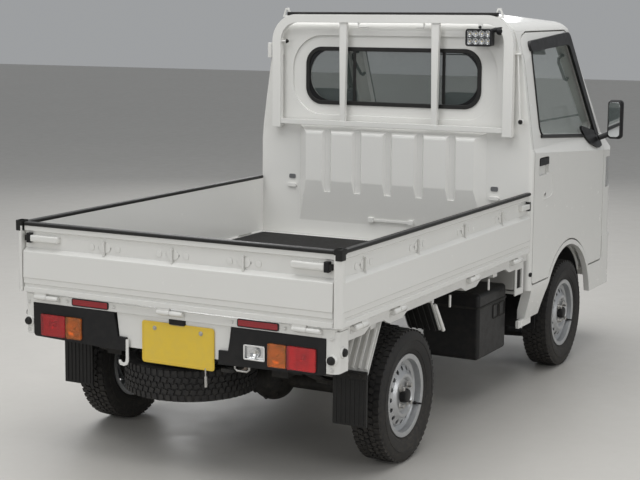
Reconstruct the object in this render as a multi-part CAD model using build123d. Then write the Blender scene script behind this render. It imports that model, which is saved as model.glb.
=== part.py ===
from build123d import *
import os
from math import cos, radians, sin, tan

# Kei truck: small cab-over flatbed with three drop-side gates.
# Frame: +X forward, +Y left, +Z up, origin on the ground at the middle of the length.
# All sizes in millimetres.

os.makedirs("parts", exist_ok=True)

# Overall sizes
WHEELBASE = 1900
FRONT_OVERHANG = 852.5
REAR_OVERHANG = 642.5
LENGTH = WHEELBASE + FRONT_OVERHANG + REAR_OVERHANG
WIDTH = 1475
HEIGHT = 1780
TRACK_FRONT = WIDTH - 170
TRACK_REAR = WIDTH - 175
NOSE_X = LENGTH / 2
TAIL_X = -LENGTH / 2
SIDE_Y = WIDTH / 2
FRONT_AXLE_X = NOSE_X - FRONT_OVERHANG
REAR_AXLE_X = FRONT_AXLE_X - WHEELBASE
CAB_BACK_X = FRONT_AXLE_X - 560

# Clearances
MOVING_GAP = 6
DOOR_GAP = 7
JOINT_GAP = 8
BEARING_GAP = 0.5

# Wheels
TYRE_R = 268.5
TYRE_WIDTH = 147
TREAD_WIDTH = 118
BEAD_R = 152.4
FLANGE_R = 167
DISC_FACE = 40
HUB_BORE_R = 17
VENT_HOLES = 16
VENT_HOLE_R = 9.5
VENT_RING_R = 108
DRUM_R = 105
ROTOR_R = 112

# Steering
LOWER_ARM_Z = (128, 148)
HUB_Y = TRACK_FRONT / 2
STRUT_LOW = (HUB_Y - 107.5, 330)
STRUT_HIGH = (HUB_Y - 119.5, 606)
STRUT_R = 24

# Frame under bed and cab
RAIL_Y = 350
RAIL_WIDTH = 60
RAIL_TOP_Z = 590
RAIL_REAR_X = TAIL_X + 57.5
RAIL_CAB_TOP_Z = 440
RAIL_HEIGHT = 95
CROSS_MEMBER = 50
SPRING_Y = 445
SPRING_WIDTH = 50
SPRING_HALF_LENGTH = 430
AXLE_TUBE_R = 32
DIFF_R = 95
DIFF_Y = -100

# Bed
FLOOR_Z = 650
FLOOR_T = 8
GATE_TOP_Z = 927
GATE_BOTTOM_Z = 659
GATE_T = 34.5
GUARD_T = 15
GATE_HINGE_Z = 640
GATE_HINGE_INSET = 9.5
HINGE_R = 9
HINGE_PIN_R = 4
HINGE_LENGTH = 116
BED_INNER_Y = SIDE_Y - 30.5
BED_FRONT_X = CAB_BACK_X - 19
RAIL_OUTER_Y = SIDE_Y - 23.5
SIDE_RAIL_REAR_X = TAIL_X + 107.5
PANEL_REAR_X = TAIL_X + 22
CORNER_R = 28

# Cab
CAB_BACK_T = 24
CAB_SIDE_Y = SIDE_Y - 5.5
CAB_BOTTOM_Z = 325
CAB_NOSE_X = NOSE_X - 17.5
ROOF_SEAM_Z = HEIGHT - 92
ROOF_T = 30
PILLAR_T = 45
PANEL_T = 28
ARCH_R = 350
ARCH_LIP = 23
SILL_TOP_Z = 500
DOOR_FRONT_X = NOSE_X - 314.5
DOOR_FRONT_BOTTOM_Z = 470
DOOR_SKIN_T = 15
DOOR_T = 55
DOOR_INSET = 22
GLASS_T = 5
GLASS_DEPTH = 18
BUMPER_TOP_Z = 590
COWL_Z = HEIGHT - 695
FLOOR_PAN_Z = RAIL_CAB_TOP_Z
FLOOR_PAN_T = 15
SEAT_BOX_TOP_Z = 600
SEAT_BOX_FRONT_X = FRONT_AXLE_X + 85
WHEELHOUSE_INNER_Y = HUB_Y - 237.5

# Rear lamps
LAMP_Z = (483, 572)
RED_LENS_Y = (RAIL_OUTER_Y - 209, RAIL_OUTER_Y - 85)
AMBER_LENS_Y = (RAIL_OUTER_Y - 290, RAIL_OUTER_Y - 209)
REVERSE_LENS_Y = (303 - RAIL_OUTER_Y, 386 - RAIL_OUTER_Y)
REVERSE_LENS_Z = (503, 552)
REFLECTOR_Y = (RAIL_OUTER_Y - 416, RAIL_OUTER_Y - 245)
REFLECTOR_Z = (623, 648)
LENS_PROUD = 6

# Number plate fixing
PLATE_HOLE_SPACING = 210
PLATE_HOLE_R = 3.5
PLATE_HOLE_Z = 572
PLATE_Y = -25
FRONT_PLATE_HOLE_Z = 565


# Shape helpers

def outline(corners):
    """Flat face from corners (u, v) or (u, v, fillet radius)."""
    count = len(corners)
    points = [Vector(corner[0], corner[1]) for corner in corners]
    arcs = []
    for i, corner in enumerate(corners):
        radius = corner[2] if len(corner) > 2 else 0
        back = (points[i - 1] - points[i]).normalized()
        ahead = (points[(i + 1) % count] - points[i]).normalized()
        half = radians(back.get_angle(ahead)) / 2
        reach = radius / tan(half)
        middle = points[i]
        if radius:
            middle = points[i] + (back + ahead).normalized() * (radius / sin(half) - radius)
        arcs.append((points[i] + back * reach, middle, points[i] + ahead * reach))
    edges = []
    for i, (start, middle, end) in enumerate(arcs):
        if (start - end).length > 1e-6:
            edges.append(ThreePointArc(start, middle, end))
        following = arcs[(i + 1) % count][0]
        if (following - end).length > 1e-6:
            edges.append(Line(end, following))
    face = Face(Wire(edges))
    return face if face.normal_at().Z > 0 else -face


def across(face, y_low, y_high):
    """Side outline (x, z) run from y_low to y_high."""
    plane = Plane(origin=(0, y_high, 0), x_dir=(1, 0, 0), z_dir=(0, -1, 0))
    return extrude(plane * face, y_high - y_low)


def lengthwise(face, x_low, x_high):
    """Cross outline (y, z) run from x_low to x_high."""
    plane = Plane(origin=(x_low, 0, 0), x_dir=(0, 1, 0), z_dir=(1, 0, 0))
    return extrude(plane * face, x_high - x_low)


def upward(face, z_low, z_high):
    """Plan outline (x, y) run from z_low to z_high."""
    return extrude(Plane.XY.offset(z_low) * face, z_high - z_low)


def block(x, y, z):
    """Box from (low, high) pairs."""
    size = Box(x[1] - x[0], y[1] - y[0], z[1] - z[0])
    return Pos((x[0] + x[1]) / 2, (y[0] + y[1]) / 2, (z[0] + z[1]) / 2) * size


def rounded_block(x, y, z, radius):
    """Box with all its edges rounded."""
    solid = block(x, y, z)
    return fillet(solid.edges(), radius)


def rod(start, end, radius):
    """Round bar between two points."""
    start = Vector(*start)
    run = Vector(*end) - start
    return extrude(Plane(origin=start, z_dir=run) * Circle(radius), run.length)


def y_disc(x, z, radius, y_low, y_high):
    """Round disc or bar whose axis runs along Y."""
    return rod((x, y_low, z), (x, y_high, z), radius)


def other_side(shape):
    """Mirror image on the right of the truck."""
    return mirror(shape, Plane.XZ)


def both_sides(shape):
    return shape + other_side(shape)


def rectangle(u, v, radius=0):
    """Rectangle corners from (low, high) pairs, for outline."""
    return [(u[0], v[0], radius), (u[1], v[0], radius), (u[1], v[1], radius), (u[0], v[1], radius)]


nodes = {}


# Cab outer form: the common part of a side, a cross and a plan outline

CAB_SIDE = [
    (CAB_BACK_X, CAB_BOTTOM_Z),
    (CAB_BACK_X, HEIGHT - 58, 60),
    (CAB_BACK_X + 135, HEIGHT - 15, 200),
    (CAB_BACK_X + 475, HEIGHT, 900),
    (NOSE_X - 662.5, HEIGHT - 58, 120),
    (NOSE_X - 197.5, COWL_Z + 5, 60),
    (NOSE_X - 57.5, COWL_Z - 205, 200),
    (CAB_NOSE_X, BUMPER_TOP_Z + 50, 150),
    (CAB_NOSE_X, CAB_BOTTOM_Z),
]
CAB_CROSS_HALF = [
    (CAB_SIDE_Y - 32, CAB_BOTTOM_Z),
    (CAB_SIDE_Y + 1.5, 470, 300),
    (CAB_SIDE_Y + 1.5, COWL_Z + 45, 400),
    (CAB_SIDE_Y - 64, HEIGHT - 220, 600),
    (CAB_SIDE_Y - 117, HEIGHT - 58, 80),
    (300, HEIGHT - 10, 900),
]
CAB_PLAN_HALF = [
    (CAB_BACK_X, CAB_SIDE_Y, 25),
    (NOSE_X - 157.5, CAB_SIDE_Y, 150),
    (NOSE_X - 37.5, CAB_SIDE_Y - 132, 200),
    (CAB_NOSE_X + 10, 300, 900),
]
# Belt shoulder: cut above a crease, sliding inward from the door's rear edge to its front edge
DOOR_REAR_X = CAB_BACK_X + CAB_BACK_T + DOOR_GAP
DOOR_TOP_Z = ROOF_SEAM_Z - DOOR_GAP
CREASE_Z = COWL_Z + 35
SHOULDER_TAPER = 36
SHOULDER = [
    (CAB_SIDE_Y + 52, -100),
    (CAB_SIDE_Y - 8, 20),
    (CAB_SIDE_Y - 97, 683),
    (CAB_SIDE_Y + 170, 683),
    (CAB_SIDE_Y + 170, -100),
]


def two_sided(half):
    """Outline corners of a left half joined to its mirror image, given as (across, along)."""
    return half + [(-corner[0],) + tuple(corner[1:]) for corner in reversed(half)]


def shrunk(face, inset):
    """Flat face with its edge brought in by inset, or moved out when inset is negative."""
    return offset(face, -inset, kind=Kind.INTERSECTION) if inset else face


def cross_run(inset):
    """The cross outline with its belt shoulders, brought in by inset and run past both ends of the cab."""
    run = lengthwise(shrunk(outline(two_sided(CAB_CROSS_HALF)), inset), 0, NOSE_X + 200)
    bottom = run.faces().sort_by(Axis.Z)[0]
    run += extrude(bottom, 200, dir=(0, 0, -1))
    slide = Vector(DOOR_FRONT_X - DOOR_REAR_X, -SHOULDER_TAPER, 0).normalized()
    plane = Plane(origin=Vector(DOOR_REAR_X, 0, CREASE_Z) - slide * 300, x_dir=(0, 1, 0), z_dir=(1, 0, 0))
    cut = extrude(plane * shrunk(outline(SHOULDER), -inset), NOSE_X + 300, dir=slide)
    return run - both_sides(cut)


def cab_form(inset):
    """Cab outer form brought in by inset on every side, open to the ground."""
    plan_half = [(corner[1], corner[0]) + tuple(corner[2:]) for corner in CAB_PLAN_HALF]
    plan = outline([(v, u) + tuple(r) for u, v, *r in two_sided(plan_half)])
    reach = 2 * abs(inset) + 20
    form = across(shrunk(outline(CAB_SIDE), inset), -SIDE_Y - reach, SIDE_Y + reach)
    form &= upward(shrunk(plan, inset), 0, HEIGHT + reach)
    return form & cross_run(inset)


def cab_inside(inset):
    """Room inside the cab wall, open to the ground."""
    room = cab_form(inset)
    bottom = room.faces().sort_by(Axis.Z)[0]
    return room + extrude(bottom, 200, dir=(0, 0, -1))


def cab_wall(outer_inset, inner_inset):
    """Shell of the cab between two insets, with its underside open."""
    return cab_form(outer_inset) - cab_inside(inner_inset)


def side_wall(outer_inset, inner_inset):
    """Both side walls of the cab between two insets, open at the back and the front."""
    return (cab_outer & cross_run(outer_inset)) - cross_run(inner_inset)


cab_outer = cab_form(0)
cab_thin = cab_wall(0, PANEL_T)


def door_outline(grow):
    """Door edge seen from the side, moved outward by grow."""
    return outline([
        (DOOR_REAR_X - grow, SILL_TOP_Z - grow, 20),
        (DOOR_REAR_X - grow, DOOR_TOP_Z - 30 + grow, 90),
        (DOOR_REAR_X + 110, DOOR_TOP_Z + grow, 60),
        (NOSE_X - 692.5 + grow, DOOR_TOP_Z + grow, 60),
        (DOOR_FRONT_X + grow, COWL_Z + 65 + grow, 60),
        (DOOR_FRONT_X + grow, DOOR_FRONT_BOTTOM_Z - grow, 20),
        (FRONT_AXLE_X, DOOR_FRONT_BOTTOM_Z - grow),
        (FRONT_AXLE_X, SILL_TOP_Z - grow),
    ])


def door_prism(grow):
    """Door edge run through the left side, with the wheel arch taken out."""
    arch_r = ARCH_R + ARCH_LIP + DOOR_GAP - grow
    prism = across(door_outline(grow), 500, SIDE_Y + 60)
    return prism - y_disc(FRONT_AXLE_X, TYRE_R, arch_r, 290, SIDE_Y + 70)


arch_cut = both_sides(y_disc(FRONT_AXLE_X, TYRE_R, ARCH_R, 400, SIDE_Y + 20))

# Windscreen opening seen from the front, and the slab that it takes from the wall
SCREEN = [(CAB_SIDE_Y - 112, COWL_Z + 33, 60), (CAB_SIDE_Y - 187, ROOF_SEAM_Z - 20, 60)]
screen_prism = lengthwise(outline(two_sided(SCREEN)), NOSE_X - 797.5, NOSE_X)

# Roof, back, pillar frame and nose
above_seam = block((0, 2000), (-900, 900), (ROOF_SEAM_Z, 2000))
nodes["cab_roof"] = cab_wall(0, ROOF_T) & above_seam

frame_zone = block((CAB_BACK_X + CAB_BACK_T, 2000), (-900, 900), (CAB_BOTTOM_Z, ROOF_SEAM_Z))
nose_zone = block((DOOR_FRONT_X + DOOR_GAP, 2000), (-900, 900), (BUMPER_TOP_Z, COWL_Z))
bumper_zone = block((FRONT_AXLE_X, 2000), (-900, 900), (0, BUMPER_TOP_Z))
screen_zone = block((NOSE_X - 717.5, NOSE_X), (-900, 900), (COWL_Z, ROOF_SEAM_Z))
cab_frame = (side_wall(0, PILLAR_T) & frame_zone) + (cab_wall(0, PILLAR_T) & screen_zone)
cab_frame = cab_frame - both_sides(door_prism(DOOR_GAP)) - screen_prism
cab_frame = cab_frame - arch_cut - nose_zone - bumper_zone
# Door pillar behind each door's rear edge, following the side's lean
post = side_wall(DOOR_T + MOVING_GAP, DOOR_T + 45) & block(
    (CAB_BACK_X + CAB_BACK_T, CAB_BACK_X + CAB_BACK_T + 45), (520, 800), (SEAT_BOX_TOP_Z, ROOF_SEAM_Z))
nodes["cab_frame"] = cab_frame + both_sides(post)

nodes["cab_front_panel"] = cab_thin & nose_zone

# Headlamps fill a cut in the nose panel
HEADLAMP = [
    (CAB_SIDE_Y - 262, COWL_Z - 235, 25), (CAB_SIDE_Y + 28, COWL_Z - 235), (CAB_SIDE_Y + 28, COWL_Z - 73),
    (CAB_SIDE_Y - 212, COWL_Z - 85, 25)]
headlamp_prism = both_sides(lengthwise(outline(HEADLAMP), NOSE_X - 269.5, NOSE_X))
nodes["cab_front_panel"] -= headlamp_prism
headlamps = cab_wall(1, PANEL_T) & headlamp_prism

screen_wall = cab_wall(2, 2 + GLASS_T + 1)
nodes["windscreen"] = screen_wall & screen_prism

# Back wall with rear window hole, dished surround and ribbed bulge
WINDOW_HALF = CAB_SIDE_Y - 280
DISH_HALF = CAB_SIDE_Y - 187
DISH_Z = (ROOF_SEAM_Z - 422, ROOF_SEAM_Z - 28)
WINDOW = rectangle((-WINDOW_HALF, WINDOW_HALF), (ROOF_SEAM_Z - 354, ROOF_SEAM_Z - 96), 122)
DISH = rectangle((-DISH_HALF, DISH_HALF), DISH_Z, 165)
back = cab_outer & block((CAB_BACK_X, CAB_BACK_X + CAB_BACK_T), (-900, 900), (470, ROOF_SEAM_Z))
back -= lengthwise(outline(DISH), CAB_BACK_X - 1, CAB_BACK_X + 10)
back -= lengthwise(outline(WINDOW), CAB_BACK_X - 1, CAB_BACK_X + 60)
back -= block((CAB_BACK_X - 1, CAB_BACK_X + 60), (-RAIL_Y - 60, RAIL_Y + 60), (400, RAIL_TOP_Z + 15))
BULGE_DEPTH = 36
BULGE_HALF = CAB_SIDE_Y - 227
BULGE_SLOPE = 55
BULGE_TOP_Z = DISH_Z[0] - 54
BULGE_LOW_Z = FLOOR_Z + 65
BULGE = [
    (CAB_BACK_X + 2, BULGE_TOP_Z),
    (CAB_BACK_X - BULGE_DEPTH, BULGE_TOP_Z - 32, 25),
    (CAB_BACK_X - BULGE_DEPTH, BULGE_LOW_Z + 220, 30),
    (CAB_BACK_X + 2, BULGE_LOW_Z),
]
bulge = across(outline(BULGE), -BULGE_HALF, BULGE_HALF)
bulge_plan = outline([
    (CAB_BACK_X + 2, BULGE_HALF), (CAB_BACK_X - BULGE_DEPTH, BULGE_HALF - BULGE_SLOPE),
    (CAB_BACK_X - BULGE_DEPTH, BULGE_SLOPE - BULGE_HALF), (CAB_BACK_X + 2, -BULGE_HALF)])
bulge &= upward(bulge_plan, 0, HEIGHT)
RIB_PITCH = 167
RIB_GROOVE = outline([(-26, 0), (26, 0), (14, 15), (-14, 15)])
groove_plane = Plane(
    origin=(CAB_BACK_X - BULGE_DEPTH, 0, BULGE_LOW_Z + 165), x_dir=(0, 1, 0), z_dir=(0, 0, -1))
groove = extrude(groove_plane * RIB_GROOVE, -400)
for step in range(-2, 3):
    bulge -= Pos(0, step * RIB_PITCH, 0) * groove
nodes["cab_back_panel"] = back + bulge

window_glass = lengthwise(outline(WINDOW), CAB_BACK_X + 12, CAB_BACK_X + 12 + GLASS_T)
nodes["rear_window"] = window_glass

# Front bumper with intake, and its grille
bumper_half = [
    (FRONT_AXLE_X, SIDE_Y - 2),
    (NOSE_X - 152.5, SIDE_Y - 2, 140),
    (NOSE_X - 29.5, SIDE_Y - 137.5, 180),
    (NOSE_X, 330, 600),
]
bumper_corners = bumper_half + [(x, -y, *r) for x, y, *r in reversed(bumper_half)]
bumper_face = outline(bumper_corners)
bumper = upward(bumper_face, CAB_BOTTOM_Z, BUMPER_TOP_Z)
bumper -= upward(offset(bumper_face, -PANEL_T, kind=Kind.INTERSECTION), 0, HEIGHT)
bumper -= block((FRONT_AXLE_X - 50, FRONT_AXLE_X + PANEL_T + 10), (-900, 900), (0, 1000))
bumper = bumper - arch_cut - both_sides(door_prism(DOOR_GAP))
INTAKE = rectangle((-420, 420), (350, 420), 25)
intake_cut = lengthwise(outline(INTAKE), NOSE_X - 197.5, NOSE_X + 10)
for y in (-PLATE_HOLE_SPACING / 2, PLATE_HOLE_SPACING / 2):
    bumper -= rod((NOSE_X - 60, y, FRONT_PLATE_HOLE_Z), (NOSE_X + 10, y, FRONT_PLATE_HOLE_Z), PLATE_HOLE_R)
nodes["front_bumper"] = bumper - intake_cut
grille = lengthwise(outline(INTAKE), NOSE_X - 40, NOSE_X - PANEL_T)
for z in (362, 385, 408):
    grille -= block((NOSE_X - 50, NOSE_X), (-400, 400), (z - 7, z + 7))
for y in (-200, 0, 200):
    grille += block((NOSE_X - 40, NOSE_X - PANEL_T), (y - 6, y + 6), (352, 418))
nodes["bumper_grille"] = grille

# Doors: outer skin to the full edge, inner panel stepped in, window cut through both
DOOR_WINDOW = [
    (DOOR_REAR_X + 116, COWL_Z + 117, 45), (DOOR_REAR_X + 112, DOOR_TOP_Z - 73, 60),
    (NOSE_X - 672.5, DOOR_TOP_Z - 45, 60), (NOSE_X - 345.5, COWL_Z + 55, 45)]
window_prism = across(outline(DOOR_WINDOW), 500, SIDE_Y + 60)
skin = side_wall(0, DOOR_SKIN_T) & door_prism(0)
inner = side_wall(DOOR_SKIN_T, DOOR_T) & door_prism(-DOOR_INSET)
door = skin + inner - window_prism
# Handle cup below the belt line
CUP_X = (DOOR_REAR_X + 62, DOOR_REAR_X + 196)
CUP_Z = (COWL_Z - 77, COWL_Z + 9)
CUP_DEPTH = 18
door -= across(outline(rectangle(CUP_X, CUP_Z, 12)), CAB_SIDE_Y - CUP_DEPTH, CAB_SIDE_Y + 30)
glass = side_wall(GLASS_DEPTH, GLASS_DEPTH + GLASS_T) & window_prism

# Mirror on its arm, rain visor over the window and pull handle, in black
MIRROR_X = (DOOR_FRONT_X - 62, DOOR_FRONT_X - 12)
MIRROR_Y = (CAB_SIDE_Y + 28, CAB_SIDE_Y + 108)
MIRROR_Z = (COWL_Z + 31, COWL_Z + 235)
FOOT_PROUD = 12
mirror_head = rounded_block(MIRROR_X, MIRROR_Y, MIRROR_Z, 20)
mirror_arm = rod(
    (DOOR_FRONT_X - 70, CAB_SIDE_Y - 10, COWL_Z + 35), (MIRROR_X[0] + 24, MIRROR_Y[0] + 12, MIRROR_Z[0] + 26),
    14)
MIRROR_FOOT = [
    (DOOR_FRONT_X - 330, COWL_Z + 120, 12), (DOOR_FRONT_X - 205, COWL_Z + 15, 40),
    (DOOR_FRONT_X - 110, COWL_Z - 13, 18),
    (DOOR_FRONT_X - 30, COWL_Z - 5, 18), (DOOR_FRONT_X - 22, COWL_Z + 65, 20)]
VISOR = [
    (DOOR_REAR_X + 90, DOOR_TOP_Z - 88, 12), (DOOR_REAR_X + 88, DOOR_TOP_Z - 40, 30),
    (NOSE_X - 664.5, DOOR_TOP_Z - 4, 60), (DOOR_FRONT_X - 8, COWL_Z + 50), (DOOR_FRONT_X - 60, COWL_Z + 50),
    (NOSE_X - 690.5, DOOR_TOP_Z - 66, 60)]
VISOR_GAP = 6
VISOR_T = 8
near_skin = cab_form(-VISOR_GAP)
foot = (cab_form(-FOOT_PROUD) - cab_outer) & across(outline(MIRROR_FOOT), 300, SIDE_Y + 60)
visor = (cab_form(-VISOR_GAP - VISOR_T) - near_skin) & across(outline(VISOR), 300, SIDE_Y + 60)
visor_pad = (near_skin - cab_outer) & across(outline(VISOR), 300, SIDE_Y + 60) & door_prism(-DOOR_GAP)
handle = block(
    (CUP_X[0] + 6, CUP_X[1] - 6), (CAB_SIDE_Y - CUP_DEPTH, CAB_SIDE_Y + 3), (CUP_Z[1] - 38, CUP_Z[1] - 4))
trim = mirror_head + (mirror_arm - cab_outer) + foot + visor + visor_pad + handle
trim -= glass

for side, place in (("left", lambda shape: shape), ("right", other_side)):
    nodes[f"door_{side}"] = place(door)
    nodes[f"door_glass_{side}"] = place(glass)
    nodes[f"door_trim_{side}"] = place(trim)

# Cab floor: pan, seat box, wheelhouses and toe board
seat_box_y = CAB_SIDE_Y - DOOR_T - MOVING_GAP
toe_x = NOSE_X - 257.5
TOE_TOP_X = NOSE_X - 97.5
TOE_TOP_Z = BUMPER_TOP_Z + 125
pan = block((CAB_BACK_X + CAB_BACK_T, toe_x), (-SIDE_Y, SIDE_Y), (FLOOR_PAN_Z, FLOOR_PAN_Z + FLOOR_PAN_T))
seat_box = block(
    (CAB_BACK_X + CAB_BACK_T, SEAT_BOX_FRONT_X), (-seat_box_y, seat_box_y), (FLOOR_PAN_Z, SEAT_BOX_TOP_Z))
box_wall = FLOOR_PAN_T
seat_box -= block(
    (0, SEAT_BOX_FRONT_X - box_wall), (-seat_box_y + box_wall, seat_box_y - box_wall),
    (0, SEAT_BOX_TOP_Z - box_wall))
engine_hole = block(
    (CAB_BACK_X, SEAT_BOX_FRONT_X - box_wall), (-RAIL_Y, RAIL_Y), (0, SEAT_BOX_TOP_Z - box_wall))
toe_board = across(outline([
    (toe_x - FLOOR_PAN_T, FLOOR_PAN_Z), (toe_x, FLOOR_PAN_Z), (TOE_TOP_X, TOE_TOP_Z - FLOOR_PAN_T),
    (TOE_TOP_X, TOE_TOP_Z), (TOE_TOP_X - FLOOR_PAN_T, TOE_TOP_Z)]), 132 - CAB_SIDE_Y, CAB_SIDE_Y - 132)
house_wall = 22
house = y_disc(FRONT_AXLE_X, TYRE_R, ARCH_R + house_wall, WHEELHOUSE_INNER_Y - house_wall, SIDE_Y)
house_hole = y_disc(FRONT_AXLE_X, TYRE_R, ARCH_R, WHEELHOUSE_INNER_Y, SIDE_Y + 5)
cab_floor = pan + seat_box + toe_board - engine_hole
cab_floor += both_sides(house)
cab_floor -= both_sides(house_hole)
cab_floor -= block((0, 2000), (-900, 900), (-300, FLOOR_PAN_Z))
nodes["cab_floor"] = cab_floor & cab_inside(PILLAR_T)

# Dashboard with steering column, for right-hand drive
DRIVER_Y = -340
CUSHION_TOP_Z = SEAT_BOX_TOP_Z + 145
DASH_REAR_X = NOSE_X - 452.5
DASH_TOP_Z = COWL_Z - 23
DASH = [
    (DASH_REAR_X, DASH_TOP_Z - 212, 30), (DASH_REAR_X - 10, DASH_TOP_Z - 52, 40),
    (DASH_REAR_X + 85, DASH_TOP_Z, 40),
    (DASH_REAR_X + 235, DASH_TOP_Z - 12), (DASH_REAR_X + 315, DASH_TOP_Z - 212),
    (DASH_REAR_X + 255, DASH_TOP_Z - 262),
    (DASH_REAR_X + 85, DASH_TOP_Z - 282, 30)]
dash = across(outline(DASH), 87 - CAB_SIDE_Y, CAB_SIDE_Y - 87)
WHEEL_CENTRE = (NOSE_X - 687.5, DRIVER_Y, CUSHION_TOP_Z + 255)
COLUMN_LEAN = 30
COLUMN_FOOT_Z = FLOOR_PAN_Z + FLOOR_PAN_T + 29.715
column_run = Vector(sin(radians(COLUMN_LEAN)), 0, -cos(radians(COLUMN_LEAN)))
column_top = Vector(*WHEEL_CENTRE) + column_run * 45
column_end = Vector(*WHEEL_CENTRE) + column_run * (
    (WHEEL_CENTRE[2] - COLUMN_FOOT_Z) / cos(radians(COLUMN_LEAN)))
column = rod(tuple(column_top), tuple(column_end), 32)
shroud = block((DASH_REAR_X - 155, DASH_REAR_X + 15), (DRIVER_Y - 50, DRIVER_Y + 50),
    (DASH_TOP_Z - 212, DASH_TOP_Z - 132))
nodes["dashboard"] = dash + shroud + column

# Steering wheel: rim, three spokes and hub on the column's axis
WHEEL_R = 180
wheel_plane = Plane(origin=WHEEL_CENTRE, x_dir=(0, 1, 0), z_dir=-column_run)
rim_ring = wheel_plane * Torus(WHEEL_R, 14)
hub_disc = extrude(wheel_plane.offset(-25) * Circle(42), 40)
spokes = hub_disc
for angle in (0, 180, 270):
    spoke = wheel_plane * (Rot(0, 0, angle) * Pos(WHEEL_R / 2, 0, 0) * Box(WHEEL_R, 34, 14))
    spokes += spoke
nodes["steering_wheel"] = rim_ring + spokes

# Seats: cushion, leaning back and headrest on a low base
SEAT_Y = (CAB_SIDE_Y - 612, CAB_SIDE_Y - 132)
SEAT_TOP_Z = HEIGHT - 548
SEAT = [
    (CAB_BACK_X + 170, CUSHION_TOP_Z - 100, 20), (CAB_BACK_X + 620, CUSHION_TOP_Z - 90, 38),
    (CAB_BACK_X + 630, CUSHION_TOP_Z, 38), (CAB_BACK_X + 215, CUSHION_TOP_Z - 10, 10),
    (CAB_BACK_X + 140, SEAT_TOP_Z - 7, 30), (CAB_BACK_X + 60, SEAT_TOP_Z, 30),
    (CAB_BACK_X + 100, CUSHION_TOP_Z - 45, 40)]
HEADREST_X = (CAB_BACK_X + 60, CAB_BACK_X + 140)
HEADREST_Z = (SEAT_TOP_Z + 30, SEAT_TOP_Z + 168)
seat = across(outline(SEAT), *SEAT_Y)
seat += block(
    (CAB_BACK_X + 215, CAB_BACK_X + 575), (SEAT_Y[0] + 40, WHEELHOUSE_INNER_Y - house_wall - 10),
    (SEAT_BOX_TOP_Z, 660))
headrest = rounded_block(HEADREST_X, (SEAT_Y[0] + 110, SEAT_Y[1] - 110), HEADREST_Z, 30)
headrest_rod_x = (HEADREST_X[0] + HEADREST_X[1]) / 2
for y in (SEAT_Y[0] + 190, SEAT_Y[1] - 190):
    headrest += rod((headrest_rod_x, y, SEAT_TOP_Z - 32), (headrest_rod_x, y, HEADREST_Z[0] + 38), 6)
nodes["seats"] = both_sides(seat + headrest)

# Wheels, centred at the origin with the outer face towards +Y
RIM_SECTION = [
    (-57, FLANGE_R), (-52, FLANGE_R), (-50, BEAD_R), (-30, BEAD_R), (-20, 133), (12, 133), (24, BEAD_R),
    (50, BEAD_R),
    (52, FLANGE_R), (57, FLANGE_R), (57, FLANGE_R - 5), (55, 148), (28, 148), (15, 129), (-22, 129),
    (-33, 148),
    (-55, 148), (-57, FLANGE_R - 5)]
DISC_SECTION = [
    (8, 131), (14, 131), (32, 121), (DISC_FACE + 2, 98), (52, 86), (52, 74), (DISC_FACE, 63),
    (DISC_FACE, HUB_BORE_R),
    (DISC_FACE - 4, HUB_BORE_R), (DISC_FACE - 4, 64), (48, 75), (48, 84), (DISC_FACE - 2, 96), (28, 117),
    (10, 127)]
TYRE_SECTION = [
    (-48, BEAD_R), (-50, FLANGE_R + 4, 4), (-TYRE_WIDTH / 2, 214, 30), (-68, 258, 8),
    (-TREAD_WIDTH / 2, TYRE_R - 2, 6),
    (0, TYRE_R), (TREAD_WIDTH / 2, TYRE_R - 2, 6), (68, 258, 8), (TYRE_WIDTH / 2, 214, 30),
    (50, FLANGE_R + 4, 4),
    (48, BEAD_R)]


def turned(section):
    """Ring turned about Y from a section given as (y, radius)."""
    face = outline([(radius, y, *r) for y, radius, *r in section])
    return revolve(face, Axis.Y)


def wheel_rim(brake_r, brake_y):
    """Steel wheel with its brake drum or rotor, outer face towards +Y."""
    rim = turned(RIM_SECTION) + turned(DISC_SECTION)
    vent = rod((VENT_RING_R, 0, 0), (VENT_RING_R, 80, 0), VENT_HOLE_R)
    for i in range(VENT_HOLES):
        rim -= Rot(0, 360 / VENT_HOLES * i, 0) * vent
    rim += rod((0, DISC_FACE - 4, 0), (0, brake_y[0], 0), 58)
    rim += rod((0, brake_y[1], 0), (0, brake_y[0], 0), brake_r)
    rim += rod((0, 0, 0), (0, 60, 0), 27)
    rim -= rod((0, -60, 0), (0, 30, 0), HUB_BORE_R)
    return rim


tyre = turned(TYRE_SECTION)
front_rim = wheel_rim(ROTOR_R, (-20, -9))
rear_rim = wheel_rim(DRUM_R, (-38, 24))
AXLES = [("front", FRONT_AXLE_X, HUB_Y, front_rim), ("rear", REAR_AXLE_X, TRACK_REAR / 2, rear_rim)]
for axle, x, y, rim in AXLES:
    left = Pos(x, y, TYRE_R)
    nodes[f"tyre_{axle}_left"] = left * tyre
    nodes[f"rim_{axle}_left"] = left * rim
    nodes[f"tyre_{axle}_right"] = other_side(left * tyre)
    nodes[f"rim_{axle}_right"] = other_side(left * rim)

# Steering knuckle with stub axle, caliper, steering arm and strut
UPRIGHT_Y = (HUB_Y - 64.5, HUB_Y - 34.5)
upright = block((FRONT_AXLE_X - 28, FRONT_AXLE_X + 28), UPRIGHT_Y, (LOWER_ARM_Z[1] + JOINT_GAP, 385))
stub = y_disc(FRONT_AXLE_X, TYRE_R, HUB_BORE_R - BEARING_GAP, HUB_Y - 52.5, HUB_Y + 25)
caliper = block(
    (FRONT_AXLE_X - 118, FRONT_AXLE_X - 60), (HUB_Y - 62.5, HUB_Y - 26), (TYRE_R - 40, TYRE_R + 50))
caliper_bridge = block(
    (FRONT_AXLE_X - 80, FRONT_AXLE_X + 10), (HUB_Y - 62.5, UPRIGHT_Y[1]), (TYRE_R - 25, TYRE_R + 25))
arm = block((FRONT_AXLE_X - 110, FRONT_AXLE_X), (HUB_Y - 60.5, HUB_Y - 40.5), (190, 215))
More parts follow.
